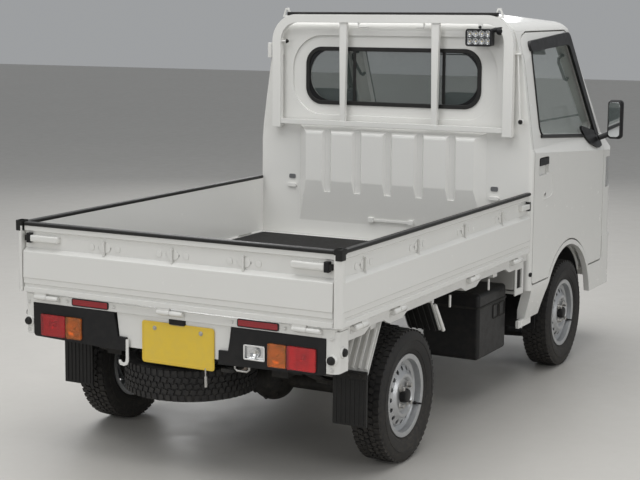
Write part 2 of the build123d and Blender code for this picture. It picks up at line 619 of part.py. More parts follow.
clamp = block((FRONT_AXLE_X - 26, FRONT_AXLE_X + 26), (HUB_Y - 122.5, UPRIGHT_Y[1]), (340, 385))
strut = rod((FRONT_AXLE_X, STRUT_LOW[0], STRUT_LOW[1]), (FRONT_AXLE_X, STRUT_HIGH[0], STRUT_HIGH[1]), STRUT_R)
spring_top = rod(
    (FRONT_AXLE_X, STRUT_HIGH[0], STRUT_HIGH[1] - 14), (FRONT_AXLE_X, STRUT_HIGH[0], STRUT_HIGH[1]), 42)
knuckle = upright + stub + caliper + caliper_bridge + arm + clamp + strut + spring_top
nodes["knuckle_left"] = knuckle
nodes["knuckle_right"] = other_side(knuckle)

# Chassis frame: two stepped rails, cross members, lower arms, tow eye and spare wheel hanger
RAIL_FRONT_X = NOSE_X - 137.5
RAIL = [
    (RAIL_REAR_X, RAIL_TOP_Z), (CAB_BACK_X - 165, RAIL_TOP_Z), (CAB_BACK_X - 5, RAIL_CAB_TOP_Z),
    (RAIL_FRONT_X, RAIL_CAB_TOP_Z), (RAIL_FRONT_X, RAIL_CAB_TOP_Z - RAIL_HEIGHT),
    (CAB_BACK_X - 35, RAIL_CAB_TOP_Z - RAIL_HEIGHT), (CAB_BACK_X - 205, RAIL_TOP_Z - RAIL_HEIGHT),
    (RAIL_REAR_X, RAIL_TOP_Z - RAIL_HEIGHT)]
frame = both_sides(across(outline(RAIL), RAIL_Y - RAIL_WIDTH / 2, RAIL_Y + RAIL_WIDTH / 2))
SPARE_X = REAR_AXLE_X - 345
SPARE_Y = 88
SPARE_Z = 345
CROSS_X = [RAIL_REAR_X + 30, SPARE_X, REAR_AXLE_X - 125, REAR_AXLE_X + 415, CAB_BACK_X - 485,
    CAB_BACK_X - 225]
for x in CROSS_X:
    frame += block(
        (x - CROSS_MEMBER / 2, x + CROSS_MEMBER / 2), (-RAIL_Y, RAIL_Y), (RAIL_TOP_Z - 75, RAIL_TOP_Z - 5))
for x in (FRONT_AXLE_X + 120, NOSE_X - 397.5, NOSE_X - 167.5):
    z_top = RAIL_CAB_TOP_Z - 10
    frame += block((x - CROSS_MEMBER / 2, x + CROSS_MEMBER / 2), (-RAIL_Y, RAIL_Y), (z_top - 70, z_top))
# Lower arms reach from the rails to the ball joints
arm_neck_y = HUB_Y - 122.5
arm_end_y = HUB_Y - 54.5
arm_plan = outline([
    (FRONT_AXLE_X + 140, RAIL_Y - 20), (FRONT_AXLE_X + 140, RAIL_Y + 30), (FRONT_AXLE_X + 22, arm_neck_y),
    (FRONT_AXLE_X + 18, arm_end_y), (FRONT_AXLE_X - 18, arm_end_y), (FRONT_AXLE_X - 22, arm_neck_y),
    (FRONT_AXLE_X - 60, RAIL_Y + 30), (FRONT_AXLE_X - 60, RAIL_Y - 20)])
lower_arm = upward(arm_plan, *LOWER_ARM_Z)
lower_arm += block((FRONT_AXLE_X - 60, FRONT_AXLE_X + 140), (RAIL_Y - 20, RAIL_Y + 20), (LOWER_ARM_Z[0], 350))
frame += both_sides(lower_arm)
# Spring hangers outside the rails
for x in (REAR_AXLE_X - SPRING_HALF_LENGTH, REAR_AXLE_X + SPRING_HALF_LENGTH):
    hanger = block((x - 28, x + 28), (RAIL_Y, SPRING_Y - SPRING_WIDTH / 2), (400, 560))
    frame += both_sides(hanger)
hanger_rod = rod((SPARE_X, SPARE_Y, RAIL_TOP_Z - 60), (SPARE_X, SPARE_Y, SPARE_Z - 62), 9)
hanger_plate = rod((SPARE_X, SPARE_Y, SPARE_Z - 62), (SPARE_X, SPARE_Y, SPARE_Z - 55), 40)
frame += hanger_rod + hanger_plate
# Tow eye under the rear end
TOW_EYE_Y = -250
TOW_EYE_R = 14
TOW_EYE_T = 12
TOW_EYE_Z = 440
EYE_Y = (TOW_EYE_Y - 28, TOW_EYE_Y + 28)
eye_front_x = RAIL_REAR_X + 40
eye_plan = outline([
    (TAIL_X + 7.5, EYE_Y[0], 20), (TAIL_X + 7.5, EYE_Y[1], 20), (eye_front_x, EYE_Y[1]),
    (eye_front_x, EYE_Y[0])])
tow_eye = upward(eye_plan, TOW_EYE_Z, TOW_EYE_Z + TOW_EYE_T)
tow_eye -= upward(Pos(TAIL_X + 33.5, TOW_EYE_Y) * Circle(TOW_EYE_R), 400, 500)
tow_eye += block((RAIL_REAR_X, eye_front_x), EYE_Y, (TOW_EYE_Z, RAIL_TOP_Z - 40))
frame += tow_eye
nodes["chassis_frame"] = frame

# Rear axle with differential, leaf springs, dampers and propeller shaft
backing_y = TRACK_REAR / 2 - 52
axle = y_disc(REAR_AXLE_X, TYRE_R, AXLE_TUBE_R, -backing_y, backing_y)
axle += Pos(REAR_AXLE_X, DIFF_Y, TYRE_R) * Sphere(DIFF_R)
for side in (1, -1):
    backing = sorted((side * backing_y, side * (backing_y + 6)))
    axle += y_disc(REAR_AXLE_X, TYRE_R, DRUM_R + 5, backing[0], backing[1])
    half_shaft = sorted((side * backing_y, side * (TRACK_REAR / 2 + 25)))
    axle += y_disc(REAR_AXLE_X, TYRE_R, HUB_BORE_R - BEARING_GAP, half_shaft[0], half_shaft[1])
LEAVES = [(SPRING_HALF_LENGTH, 430, 0), (320, 372, 9), (210, 336, 18)]
SPRING_SEAT_Z = 322
LEAF_T = 9
spring = None
for half_length, end_z, drop in LEAVES:
    top = ThreePointArc((-half_length, end_z), (0, SPRING_SEAT_Z - drop), (half_length, end_z))
    low = ThreePointArc(
        (half_length, end_z - LEAF_T), (0, SPRING_SEAT_Z - drop - LEAF_T), (-half_length, end_z - LEAF_T))
    ends = [Line(top @ 1, low @ 0), Line(low @ 1, top @ 0)]
    leaf = across(
        Face(Wire([top, ends[0], low, ends[1]])), SPRING_Y - SPRING_WIDTH / 2, SPRING_Y + SPRING_WIDTH / 2)
    spring = leaf if spring is None else spring + leaf
for x in (-SPRING_HALF_LENGTH, SPRING_HALF_LENGTH):
    spring += y_disc(x, 430, 18, SPRING_Y - SPRING_WIDTH / 2, SPRING_Y + SPRING_WIDTH / 2)
spring += block((-45, 45), (SPRING_Y - 30, SPRING_Y + 30), (TYRE_R - 20, SPRING_SEAT_Z + 6))
axle += both_sides(Pos(REAR_AXLE_X, 0, 0) * spring)
damper = rod((REAR_AXLE_X + 20, 296, TYRE_R), (REAR_AXLE_X + 160, 296, 560), 22)
axle += both_sides(damper)
GEARBOX_REAR_X = CAB_BACK_X - 35
axle += rod((REAR_AXLE_X, DIFF_Y, TYRE_R), (GEARBOX_REAR_X, -60, 400), 26)
nodes["rear_axle"] = axle

nodes["engine_block"] = block(
    (GEARBOX_REAR_X + 10, FRONT_AXLE_X + 35), (-220, 220), (300, SEAT_BOX_TOP_Z - 40))

# Exhaust: front pipe, oval silencer and tail pipe beside the frame rail
SILENCER_X = (REAR_AXLE_X + 295, CAB_BACK_X - 615)
silencer = lengthwise(Pos(-215, 400) * Ellipse(75, 55), *SILENCER_X)
front_pipe = rod((SILENCER_X[1], -195, 400), (GEARBOX_REAR_X + 10, -195, 400), 20)
tail_pipe = rod((SILENCER_X[0], -215, 420), (TAIL_X + 197.5, -215, 420), 18)
nodes["exhaust"] = silencer + front_pipe + tail_pipe

nodes["fuel_tank"] = rounded_block(
    (REAR_AXLE_X + 495, CAB_BACK_X - 275), (RAIL_Y + RAIL_WIDTH / 2, RAIL_OUTER_Y - 64), (300, 500), 35)
nodes["battery_box"] = rounded_block(
    (CAB_BACK_X - 445, CAB_BACK_X - 100), (59 - RAIL_OUTER_Y, -RAIL_Y - RAIL_WIDTH / 2), (215, 520), 18)

# Spare wheel lying under the rear of the frame, outer face down
spare_place = Pos(SPARE_X, SPARE_Y, SPARE_Z) * Rot(-90, 0, 0)
spare_rim = turned(RIM_SECTION) + turned(DISC_SECTION)
for i in range(VENT_HOLES):
    spare_rim -= Rot(0, 360 / VENT_HOLES * i, 0) * rod((VENT_RING_R, 0, 0), (VENT_RING_R, 80, 0), VENT_HOLE_R)
nodes["spare_wheel"] = spare_place * (spare_rim + tyre)

# Bed: floor pan, cross ribs, side rails with scalloped lower edge, inner mudguards
GATE_HINGE_X = [TAIL_X + 179.5, TAIL_X + 517.5, BED_FRONT_X - 676, BED_FRONT_X - 153]
tail_hinge_y = BED_INNER_Y - 115
TAILGATE_HINGE_Y = [-tail_hinge_y, 0, tail_hinge_y]
BED_REAR_X = TAIL_X + GATE_T + 8
bed = block((BED_REAR_X, CAB_BACK_X - 4), (-RAIL_OUTER_Y, RAIL_OUTER_Y), (FLOOR_Z - FLOOR_T, FLOOR_Z))
RIB_X = [
    RAIL_REAR_X + 30, REAR_AXLE_X - 275, REAR_AXLE_X + 275, BED_FRONT_X - 686, BED_FRONT_X - 326,
    BED_FRONT_X - 66]
for x in RIB_X:
    bed += block(
        (x - 25, x + 25), (-RAIL_OUTER_Y + 24, RAIL_OUTER_Y - 24), (RAIL_TOP_Z, FLOOR_Z - FLOOR_T / 2))
SIDE_RAIL_LOW_Z = 618
SCALLOP_DROP = 22
lower_edge = [(SIDE_RAIL_REAR_X, SIDE_RAIL_LOW_Z - SCALLOP_DROP),
    (GATE_HINGE_X[0] + 60, SIDE_RAIL_LOW_Z - SCALLOP_DROP, 30),
              (GATE_HINGE_X[0] + 110, SIDE_RAIL_LOW_Z, 30)]
for x in GATE_HINGE_X[1:]:
    lower_edge += [
        (x - 110, SIDE_RAIL_LOW_Z, 30), (x - 60, SIDE_RAIL_LOW_Z - SCALLOP_DROP, 30),
        (x + 60, SIDE_RAIL_LOW_Z - SCALLOP_DROP, 30), (x + 110, SIDE_RAIL_LOW_Z, 30)]
lower_edge += [(CAB_BACK_X - 4, SIDE_RAIL_LOW_Z), (CAB_BACK_X - 4, FLOOR_Z), (SIDE_RAIL_REAR_X, FLOOR_Z)]
side_rail = across(outline(lower_edge), RAIL_OUTER_Y - 12, RAIL_OUTER_Y)
MUDGUARD = [(-355, 425), (-240, 612), (235, 612), (335, 470)]
guard_path = [(REAR_AXLE_X + x, z) for x, z in MUDGUARD]
guard_face = outline(guard_path + [(x, z + 7) for x, z in reversed(guard_path)])
mudguard = across(guard_face, RAIL_OUTER_Y - 154, RAIL_OUTER_Y - 6)
for x in (-240, 235):
    mudguard += block(
        (REAR_AXLE_X + x - 8, REAR_AXLE_X + x + 8), (RAIL_OUTER_Y - 114, RAIL_OUTER_Y - 74),
        (612, FLOOR_Z - 2))
bed += both_sides(side_rail + mudguard)
# Lashing bracket with a square hole below the front end of the right side rail
bracket = block((CAB_BACK_X - 145, CAB_BACK_X - 40), (-RAIL_OUTER_Y, -RAIL_OUTER_Y + 6), (470, FLOOR_Z - 20))
bracket -= block((CAB_BACK_X - 125, CAB_BACK_X - 63), (-RAIL_OUTER_Y - 5, -RAIL_OUTER_Y + 10), (500, 590))
bed += bracket


def hinge_knuckles(place):
    """One barrel hinge: the fixed half with its pin, and the half on the gate, axis along X at the origin."""
    half = HINGE_LENGTH / 2
    fixed = rod((-half, 0, 0), (-0.5, 0, 0), HINGE_R) + rod((-half, 0, 0), (half - 4, 0, 0), HINGE_PIN_R)
    leaf = block((-half, -0.5), (-18, -11), (-22, HINGE_R - 2))
    leaf += block((-half, -0.5), (-12, 0), (2 - HINGE_R, HINGE_R - 2))
    fixed += leaf - rod((-half - 1, 0, 0), (0, 0, 0), HINGE_R - 1)
    moving = rod((0.5, 0, 0), (half, 0, 0), HINGE_R) - rod(
        (0, 0, 0), (half - 3, 0, 0), HINGE_PIN_R + BEARING_GAP)
    moving += block((0.5, half), (-6, 4), (HINGE_R - 1, 30))
    return place * fixed, place * moving


hinge_y = SIDE_Y - GATE_HINGE_INSET
gate_hinges = [hinge_knuckles(Pos(x, hinge_y, GATE_HINGE_Z)) for x in GATE_HINGE_X]
for fixed, moving in gate_hinges:
    bed += both_sides(fixed)
nodes["bed_floor"] = bed

# Ribbed rubber mat on the floor
MAT_T = 5
mat = block(
    (BED_REAR_X + 12, CAB_BACK_X - 60), (-BED_INNER_Y + 20, BED_INNER_Y - 20), (FLOOR_Z, FLOOR_Z + MAT_T))
nodes["bed_mat"] = mat

# Rear skirt: band under the tailgate, drop behind the plate and corner brackets with stop plugs
PANEL_FRONT_X = BED_REAR_X
LAMP_PANEL = [
    (RAIL_OUTER_Y - 47, 614), (RAIL_OUTER_Y - 444, 614), (RAIL_OUTER_Y - 461, 520), (RAIL_OUTER_Y - 502, 519),
    (RAIL_OUTER_Y - 504, 464), (RAIL_OUTER_Y - 49, 477, 12)]
band = block((PANEL_REAR_X, PANEL_FRONT_X), (-RAIL_OUTER_Y + 12, RAIL_OUTER_Y - 12), (615, FLOOR_Z))
drop_half = RAIL_OUTER_Y - 452
DROP = [(drop_half, 620), (-drop_half, 620), (17 - drop_half, 480, 12), (drop_half - 17, 480, 12)]
drop = lengthwise(outline(DROP), PANEL_REAR_X + 8, PANEL_FRONT_X)
corner_y = RAIL_OUTER_Y - 46
corner_plan = [
    (PANEL_REAR_X, corner_y), (PANEL_REAR_X, RAIL_OUTER_Y, 25), (SIDE_RAIL_REAR_X, RAIL_OUTER_Y),
    (SIDE_RAIL_REAR_X, RAIL_OUTER_Y - 8), (PANEL_FRONT_X, RAIL_OUTER_Y - 18, 8), (PANEL_FRONT_X, corner_y)]
corner = upward(outline(corner_plan), LAMP_Z[0] + 2, FLOOR_Z - 10)
rear_panel = band + drop + both_sides(corner)
for y in (PLATE_Y - PLATE_HOLE_SPACING / 2, PLATE_Y + PLATE_HOLE_SPACING / 2):
    rear_panel -= rod((TAIL_X, y, PLATE_HOLE_Z), (PANEL_FRONT_X + 20, y, PLATE_HOLE_Z), PLATE_HOLE_R)
tail_hinge_x = TAIL_X + GATE_HINGE_INSET
tail_turn = Rot(0, 0, 90)
tail_hinges = [hinge_knuckles(Pos(tail_hinge_x, y, GATE_HINGE_Z) * tail_turn) for y in TAILGATE_HINGE_Y]
for fixed, moving in tail_hinges:
    rear_panel += fixed
nodes["rear_panel"] = rear_panel

# Lamp panels either side of the plate, lenses and reflectors
lamp_panel = lengthwise(outline(LAMP_PANEL), PANEL_REAR_X - 2, PANEL_FRONT_X)
lamp_panel -= drop
lens_seat = PANEL_REAR_X + 4
red = block((PANEL_REAR_X - 2 - LENS_PROUD, lens_seat), RED_LENS_Y, LAMP_Z)
amber = block((PANEL_REAR_X - 2 - LENS_PROUD, lens_seat), AMBER_LENS_Y, LAMP_Z)
lens_cut = both_sides(red + amber)
reverse_lamp = block((PANEL_REAR_X - 2 - LENS_PROUD, lens_seat), REVERSE_LENS_Y, REVERSE_LENS_Z)
nodes["lamp_panels"] = both_sides(lamp_panel) - lens_cut - reverse_lamp
reflector = block((PANEL_REAR_X - LENS_PROUD, PANEL_REAR_X), REFLECTOR_Y, REFLECTOR_Z)
nodes["rear_lenses"] = both_sides(red + amber) + both_sides(reflector)
nodes["clear_lamps"] = headlamps + reverse_lamp

flap = block((REAR_AXLE_X - 366, REAR_AXLE_X - 356), (RAIL_OUTER_Y - 149, RAIL_OUTER_Y - 6), (225, 440))
nodes["mudflaps"] = both_sides(flap)

# Gates: pressed panel section as (depth from the inner face, height)
GATE_SECTION = [
    (0, GATE_BOTTOM_Z), (0, GATE_TOP_Z), (20, GATE_TOP_Z), (20, 908), (11, 903), (11, 838), (31, 824, 6),
    (34, 718),
    (31, 715), (31, 694), (26, 691), (26, 680), (31, 677), (31, GATE_BOTTOM_Z)]
BAND_DEPTH = 11
HOOK_BAR = 7
HOOK_STAND = 13
HOOK_TOP_Z = GATE_TOP_Z - 35
LATCH_Z = (GATE_TOP_Z - 61, GATE_TOP_Z - 35)


def hook_bar(place):
    """Rope hook standing off the recessed band, which is the plane y = 0."""
    half = HOOK_BAR / 2
    upright = block((-half, half), (HOOK_STAND - HOOK_BAR, HOOK_STAND), (HOOK_TOP_Z - 60, HOOK_TOP_Z))
    head = block((-half, half), (-2, HOOK_STAND), (HOOK_TOP_Z - HOOK_BAR, HOOK_TOP_Z))
    return place * (upright + head)


gate_inner_x = TAIL_X + GATE_T
tail_half = BED_INNER_Y - MOVING_GAP + 1
tail_face = outline([(gate_inner_x - depth, z, *r) for depth, z, *r in GATE_SECTION])
tailgate = across(tail_face, -tail_half, tail_half)
for y in (-322, -6, 311):
    tailgate += hook_bar(Pos(gate_inner_x - BAND_DEPTH, y, 0) * Rot(0, 0, 90))
latch = rounded_block(
    (TAIL_X + 1, gate_inner_x - BAND_DEPTH + 2), (BED_INNER_Y - 178, BED_INNER_Y - 42), LATCH_Z, 4)
tailgate += both_sides(latch)
for fixed, moving in tail_hinges:
    tailgate += moving
nodes["tailgate"] = tailgate
guard_half = tail_half - 2
tail_guard = block(
    (gate_inner_x - 26, gate_inner_x + 8), (-guard_half, guard_half), (GATE_TOP_Z, GATE_TOP_Z + GUARD_T))
tail_guard = fillet(tail_guard.edges().filter_by(Axis.Y), 6)
stopper = block(
    (TAIL_X + 4, gate_inner_x - BAND_DEPTH), (BED_INNER_Y - 39, BED_INNER_Y - 13),
    (LATCH_Z[0] + 2, LATCH_Z[1] - 2))
nodes["tailgate_guard"] = tail_guard + both_sides(stopper)

gate_face = outline([(BED_INNER_Y + depth * 30.5 / GATE_T, z, *r) for depth, z, *r in GATE_SECTION])
gate = lengthwise(gate_face, TAIL_X, BED_FRONT_X)
gate_plan = outline([
    (TAIL_X, 0), (TAIL_X, SIDE_Y, CORNER_R), (BED_FRONT_X, SIDE_Y), (BED_FRONT_X, 0)])
end_post = block((TAIL_X, TAIL_X + GATE_T), (BED_INNER_Y, SIDE_Y - 2), (GATE_BOTTOM_Z, GATE_TOP_Z))
gate = (gate + end_post) & upward(gate_plan, 0, HEIGHT)
for x in (TAIL_X + 218.5, TAIL_X + 701.5, TAIL_X + 1184.5, BED_FRONT_X - 341):
    gate += hook_bar(Pos(x, BED_INNER_Y + BAND_DEPTH - 1.3, 0))
gate += rounded_block((BED_FRONT_X - 116, BED_FRONT_X - 16), (BED_INNER_Y + 8, SIDE_Y - 1), LATCH_Z, 4)
for fixed, moving in gate_hinges:
    gate += moving
side_guard = lengthwise(
    outline(rectangle((BED_INNER_Y - 1, SIDE_Y - 4), (GATE_TOP_Z, GATE_TOP_Z + GUARD_T), 6)), TAIL_X + 45,
    BED_FRONT_X)
cap_plan = outline([
    (TAIL_X, BED_INNER_Y - 1), (TAIL_X, SIDE_Y, CORNER_R), (TAIL_X + 45, SIDE_Y),
    (TAIL_X + 45, BED_INNER_Y - 1)])
corner_cap = upward(cap_plan, GATE_TOP_Z, GATE_TOP_Z + GUARD_T + 6)
gate_guard = side_guard + corner_cap
nodes["gate_left"] = gate
nodes["gate_right"] = other_side(gate)
nodes["gate_guard_left"] = gate_guard
nodes["gate_guard_right"] = other_side(gate_guard)

# Guard frame behind the cab: flat tube hoop, bottom bar, two tapered stays, rope loops and feet
HOOP_X = (CAB_BACK_X - 47, CAB_BACK_X - 17)
HOOP_HALF = CAB_SIDE_Y - 92
HOOP_FOOT_Z = BULGE_TOP_Z - 14
HOOP_TOP_Z = HEIGHT - 16
HOOP_TUBE = 48
hoop = outline(two_sided([(HOOP_HALF, HOOP_FOOT_Z), (HOOP_HALF, HOOP_TOP_Z, 135)]))
inside_half = HOOP_HALF - HOOP_TUBE
hoop_hole = outline(two_sided([(inside_half, HOOP_FOOT_Z - 10), (inside_half, HOOP_TOP_Z - 40, 92)]))
guard = lengthwise(hoop, *HOOP_X) - lengthwise(hoop_hole, HOOP_X[0] - 1, HOOP_X[1] + 1)
BOTTOM_BAR_Z = (HOOP_FOOT_Z + 18, HOOP_FOOT_Z + 42)
guard += block((HOOP_X[0] + 3, HOOP_X[1] - 3), (-inside_half - 5, inside_half + 5), BOTTOM_BAR_Z)
STAY_Y = 245
stay_low_z = BOTTOM_BAR_Z[0] + 2
stay = outline([
    (STAY_Y - 20, HOOP_TOP_Z - 38), (STAY_Y + 20, HOOP_TOP_Z - 38), (STAY_Y + 13, stay_low_z),
    (STAY_Y - 13, stay_low_z)])
guard += both_sides(lengthwise(stay, HOOP_X[0] + 5, HOOP_X[1] - 5))
for z in (HOOP_FOOT_Z + 24, HOOP_TOP_Z - 184):
    foot = block((HOOP_X[1] - 2, CAB_BACK_X), (HOOP_HALF - 44, HOOP_HALF - 4), (z - 20, z + 20))
    guard += both_sides(foot)
loop_y = HOOP_HALF - 78
loop_plane = Plane(
    origin=((HOOP_X[0] + HOOP_X[1]) / 2, loop_y, HOOP_TOP_Z - 6), x_dir=(0, 1, 0), z_dir=(1, 0, 0))
loop = extrude(loop_plane * outline([(-24, -8), (-9, 38, 8), (9, 38, 8), (24, -8)]), 4, both=True)
loop -= extrude(loop_plane * outline([(-13, 2), (-4, 28, 4), (4, 28, 4), (13, 2)]), 10, both=True)
guard += both_sides(loop)
nodes["guard_frame"] = guard

# Work lamp on a bracket in the top right corner of the hoop
LAMP_Y = (99 - HOOP_HALF, 223 - HOOP_HALF)
LAMP_TOP_Z = HOOP_TOP_Z - 66
lamp = rounded_block((HOOP_X[0] - 26, HOOP_X[1] - 10), LAMP_Y, (LAMP_TOP_Z - 76, LAMP_TOP_Z), 8)
lamp += rod(
    (HOOP_X[0] + 2, LAMP_Y[0] + 11, LAMP_TOP_Z - 8), (HOOP_X[1] - 16, 40 - HOOP_HALF, LAMP_TOP_Z + 14), 11)
nodes["work_lamp"] = lamp - guard

for name, shape in nodes.items():
    export_step(shape, f"parts/{name}.step")
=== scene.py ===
# %% [markdown]
# # A kei truck, dressed from its CAD frame
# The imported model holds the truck's real pieces in metres: +X forward, +Y left, +Z up,
# with the origin on the ground in the middle. We load it as a fixed frame and never move it.
# Everything that follows either gives a CAD piece a finish or adds a visible piece that
# rides on one of the truck's moving bodies.

# %% Load the frame
from math import cos, exp, pi, radians, sin, tan

import bmesh
import bpy
from mathutils import Matrix, Vector


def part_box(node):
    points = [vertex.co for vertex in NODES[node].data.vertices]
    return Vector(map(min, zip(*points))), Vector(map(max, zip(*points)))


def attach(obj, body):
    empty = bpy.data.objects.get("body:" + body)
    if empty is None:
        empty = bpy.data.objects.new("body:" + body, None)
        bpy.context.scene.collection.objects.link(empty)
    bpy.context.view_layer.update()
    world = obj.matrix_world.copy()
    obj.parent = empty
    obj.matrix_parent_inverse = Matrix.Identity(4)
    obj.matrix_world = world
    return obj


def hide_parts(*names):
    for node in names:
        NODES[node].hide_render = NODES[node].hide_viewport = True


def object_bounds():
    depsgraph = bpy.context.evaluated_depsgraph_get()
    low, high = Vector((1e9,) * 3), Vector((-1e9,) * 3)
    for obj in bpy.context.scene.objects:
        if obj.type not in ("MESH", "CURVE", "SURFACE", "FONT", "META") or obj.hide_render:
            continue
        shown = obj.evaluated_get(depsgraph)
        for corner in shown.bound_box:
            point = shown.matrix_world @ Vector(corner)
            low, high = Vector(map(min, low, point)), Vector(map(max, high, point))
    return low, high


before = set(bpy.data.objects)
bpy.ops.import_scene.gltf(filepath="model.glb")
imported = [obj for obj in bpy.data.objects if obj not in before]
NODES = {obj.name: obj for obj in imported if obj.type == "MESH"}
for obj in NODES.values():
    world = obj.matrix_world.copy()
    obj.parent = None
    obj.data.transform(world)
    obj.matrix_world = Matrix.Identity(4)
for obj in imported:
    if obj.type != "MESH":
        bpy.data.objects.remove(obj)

CAD_BOX = [list(corner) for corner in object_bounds()]

# %% [markdown]
# ## Camera
# The photograph is taken from behind the right rear corner, from about head height. The
# camera's place, angles and focal length were solved by fitting known points of the truck:
# gates, lamps and hoop land on their pixels. A small shift stands for the picture's crop.

# %% Camera
IMAGE_W, IMAGE_H = 640, 480
CAMERA_AT = (-6.395, -3.102, 1.808)
CAMERA_YAW, CAMERA_PITCH, CAMERA_ROLL = 30.27, 7.775, 0.074
FOCAL_PX = 1499.5
CENTRE_PX = (250.0, 210.0)
SENSOR = 36.0

camera_data = bpy.data.cameras.new("camera")
camera_data.sensor_width = SENSOR
camera_data.lens = FOCAL_PX / IMAGE_W * SENSOR
camera_data.shift_x = (IMAGE_W / 2 - CENTRE_PX[0]) / IMAGE_W
camera_data.shift_y = -(IMAGE_H / 2 - CENTRE_PX[1]) / IMAGE_W
camera = bpy.data.objects.new("camera", camera_data)
bpy.context.collection.objects.link(camera)
yaw, pitch, roll = (radians(a) for a in (CAMERA_YAW, CAMERA_PITCH, CAMERA_ROLL))
ahead = Vector((cos(yaw) * cos(pitch), sin(yaw) * cos(pitch), -sin(pitch)))
right = ahead.cross(Vector((0, 0, 1))).normalized()
above = right.cross(ahead)
turned_right = right * cos(roll) + above * sin(roll)
turned_above = above * cos(roll) - right * sin(roll)
camera.matrix_world = Matrix.Translation(CAMERA_AT) @ Matrix(
    (turned_right, turned_above, -ahead)).transposed().to_4x4()
bpy.context.scene.camera = camera
bpy.context.scene.view_settings.view_transform = "Standard"
print("camera lens", round(camera_data.lens, 1), "mm")

# %% [markdown]
# ## Helpers for shader nodes
# Every finish is built from nodes. One helper makes a node, sets its numbers and links its
# inputs, and four more stand for the nodes that come up again and again. The last starts a
# material and sets on the shader's own sockets whatever is the same all over.

# %% Shader helpers
def add_node(tree, kind, inputs=None, prefix="ShaderNode", **settings):
    """One node with its settings, numbers and links."""
    made = tree.nodes.new(prefix + kind)
    for key, value in settings.items():
        setattr(made, key, value)
    for key, value in (inputs or {}).items():
        if isinstance(value, bpy.types.NodeSocket):
            tree.links.new(value, made.inputs[key])
        else:
            made.inputs[key].default_value = value
    return made


def calculate(tree, operation, one, two, **settings):
    """Result of one sum, product or quotient of numbers or sockets."""
    return add_node(tree, "Math", {0: one, 1: two}, operation=operation, **settings).outputs[0]


def rescaled(tree, value, old, new):
    """Value carried over from one span of numbers to another."""
    return add_node(tree, "MapRange", {"Value": value, "From Min": old[0], "From Max": old[1],
                                       "To Min": new[0], "To Max": new[1]}).outputs["Result"]


def blended(tree, factor, one, two, **settings):
    """Colour between two colours, each either plain or a socket."""
    ends = [c if isinstance(c, bpy.types.NodeSocket) else [*c, 1] for c in (one, two)]
    return add_node(tree, "Mix", {0: factor, 6: ends[0], 7: ends[1]}, data_type="RGBA", **settings).outputs[2]


def noise(tree, place, scale, detail, roughness=0.5):
    inputs = {"Vector": place, "Scale": scale, "Detail": detail, "Roughness": roughness}
    return add_node(tree, "TexNoise", inputs).outputs["Fac"]


def start_material(name, **sockets):
    """A material with its Principled shader's plain sockets set, and the place on the object."""
    material = bpy.data.materials.new(name)
    material.use_nodes = True
    tree = material.node_tree
    bsdf = tree.nodes["Principled BSDF"]
    for key, value in sockets.items():
        bsdf.inputs[key.replace("_", " ")].default_value = value
    return material, tree, bsdf, add_node(tree, "TexCoord").outputs["Object"]


# %% [markdown]
# ## One recipe for a worn surface
# Paint, plastic, rubber and bare metal all show the same few things: a colour that drifts,
# dust that gathers low down and in blotches, a gloss that varies, and a fine grain. Noise in
# object coordinates keeps the pattern fixed to the piece, and a bevel node rounds the light
# on sharp pressed edges.

# %% Worn surface recipe
def worn_surface(name, colour, dust=(0, 0, 1.0), dust_colour=(0.36, 0.32, 0.26), drift=0.06,
                 gloss=(0.3, 0.45), grain=(300, 0.05), blotch=3.0, edge=0.002, **sockets):
    """Base colour with drift and dust, gloss range and grain bump.

    dust is (amount everywhere, extra amount at the ground, height at which that extra ends).
    """
    material, tree, bsdf, place = start_material(name, **sockets)
    large = noise(tree, place, blotch, 6.0, 0.6)
    fine = noise(tree, place, grain[0], 3.0)
    streaks = noise(tree, place, blotch * 9, 8.0, 0.7)
    darker = [c * (1 - drift) for c in colour]
    lighter = [min(1, c * (1 + drift)) for c in colour]
    base = blended(tree, large, darker, lighter)
    height = add_node(tree, "SeparateXYZ", {"Vector": place}).outputs["Z"]
    low = rescaled(tree, height, (0, dust[2]), (dust[1], 0))
    patch = rescaled(tree, streaks, (0.42, 0.75), (0.15, 1.0))
    amount = calculate(tree, "ADD", low, dust[0])
    dusty = calculate(tree, "MULTIPLY", amount, patch, use_clamp=True)
    tree.links.new(blended(tree, dusty, base, dust_colour), bsdf.inputs["Base Color"])
    rough = rescaled(tree, streaks, (0.3, 0.7), gloss)
    tree.links.new(calculate(tree, "ADD", rough, dusty, use_clamp=True), bsdf.inputs["Roughness"])
    bump = add_node(tree, "Bump", {"Height": fine, "Strength": grain[1], "Distance": 0.001})
    if edge:
        rounded_edge = add_node(tree, "Bevel", {"Radius": edge}, samples=4)
        tree.links.new(rounded_edge.outputs[0], bump.inputs["Normal"])
    tree.links.new(bump.outputs[0], bsdf.inputs["Normal"])
    return material


# %% [markdown]
# ## The truck's finishes
# The photographed truck is white all over, with a clear gloss and only a little road dust
# near the ground. Its chassis is dull black, the wheels are silver, and trim is grained
# black plastic.

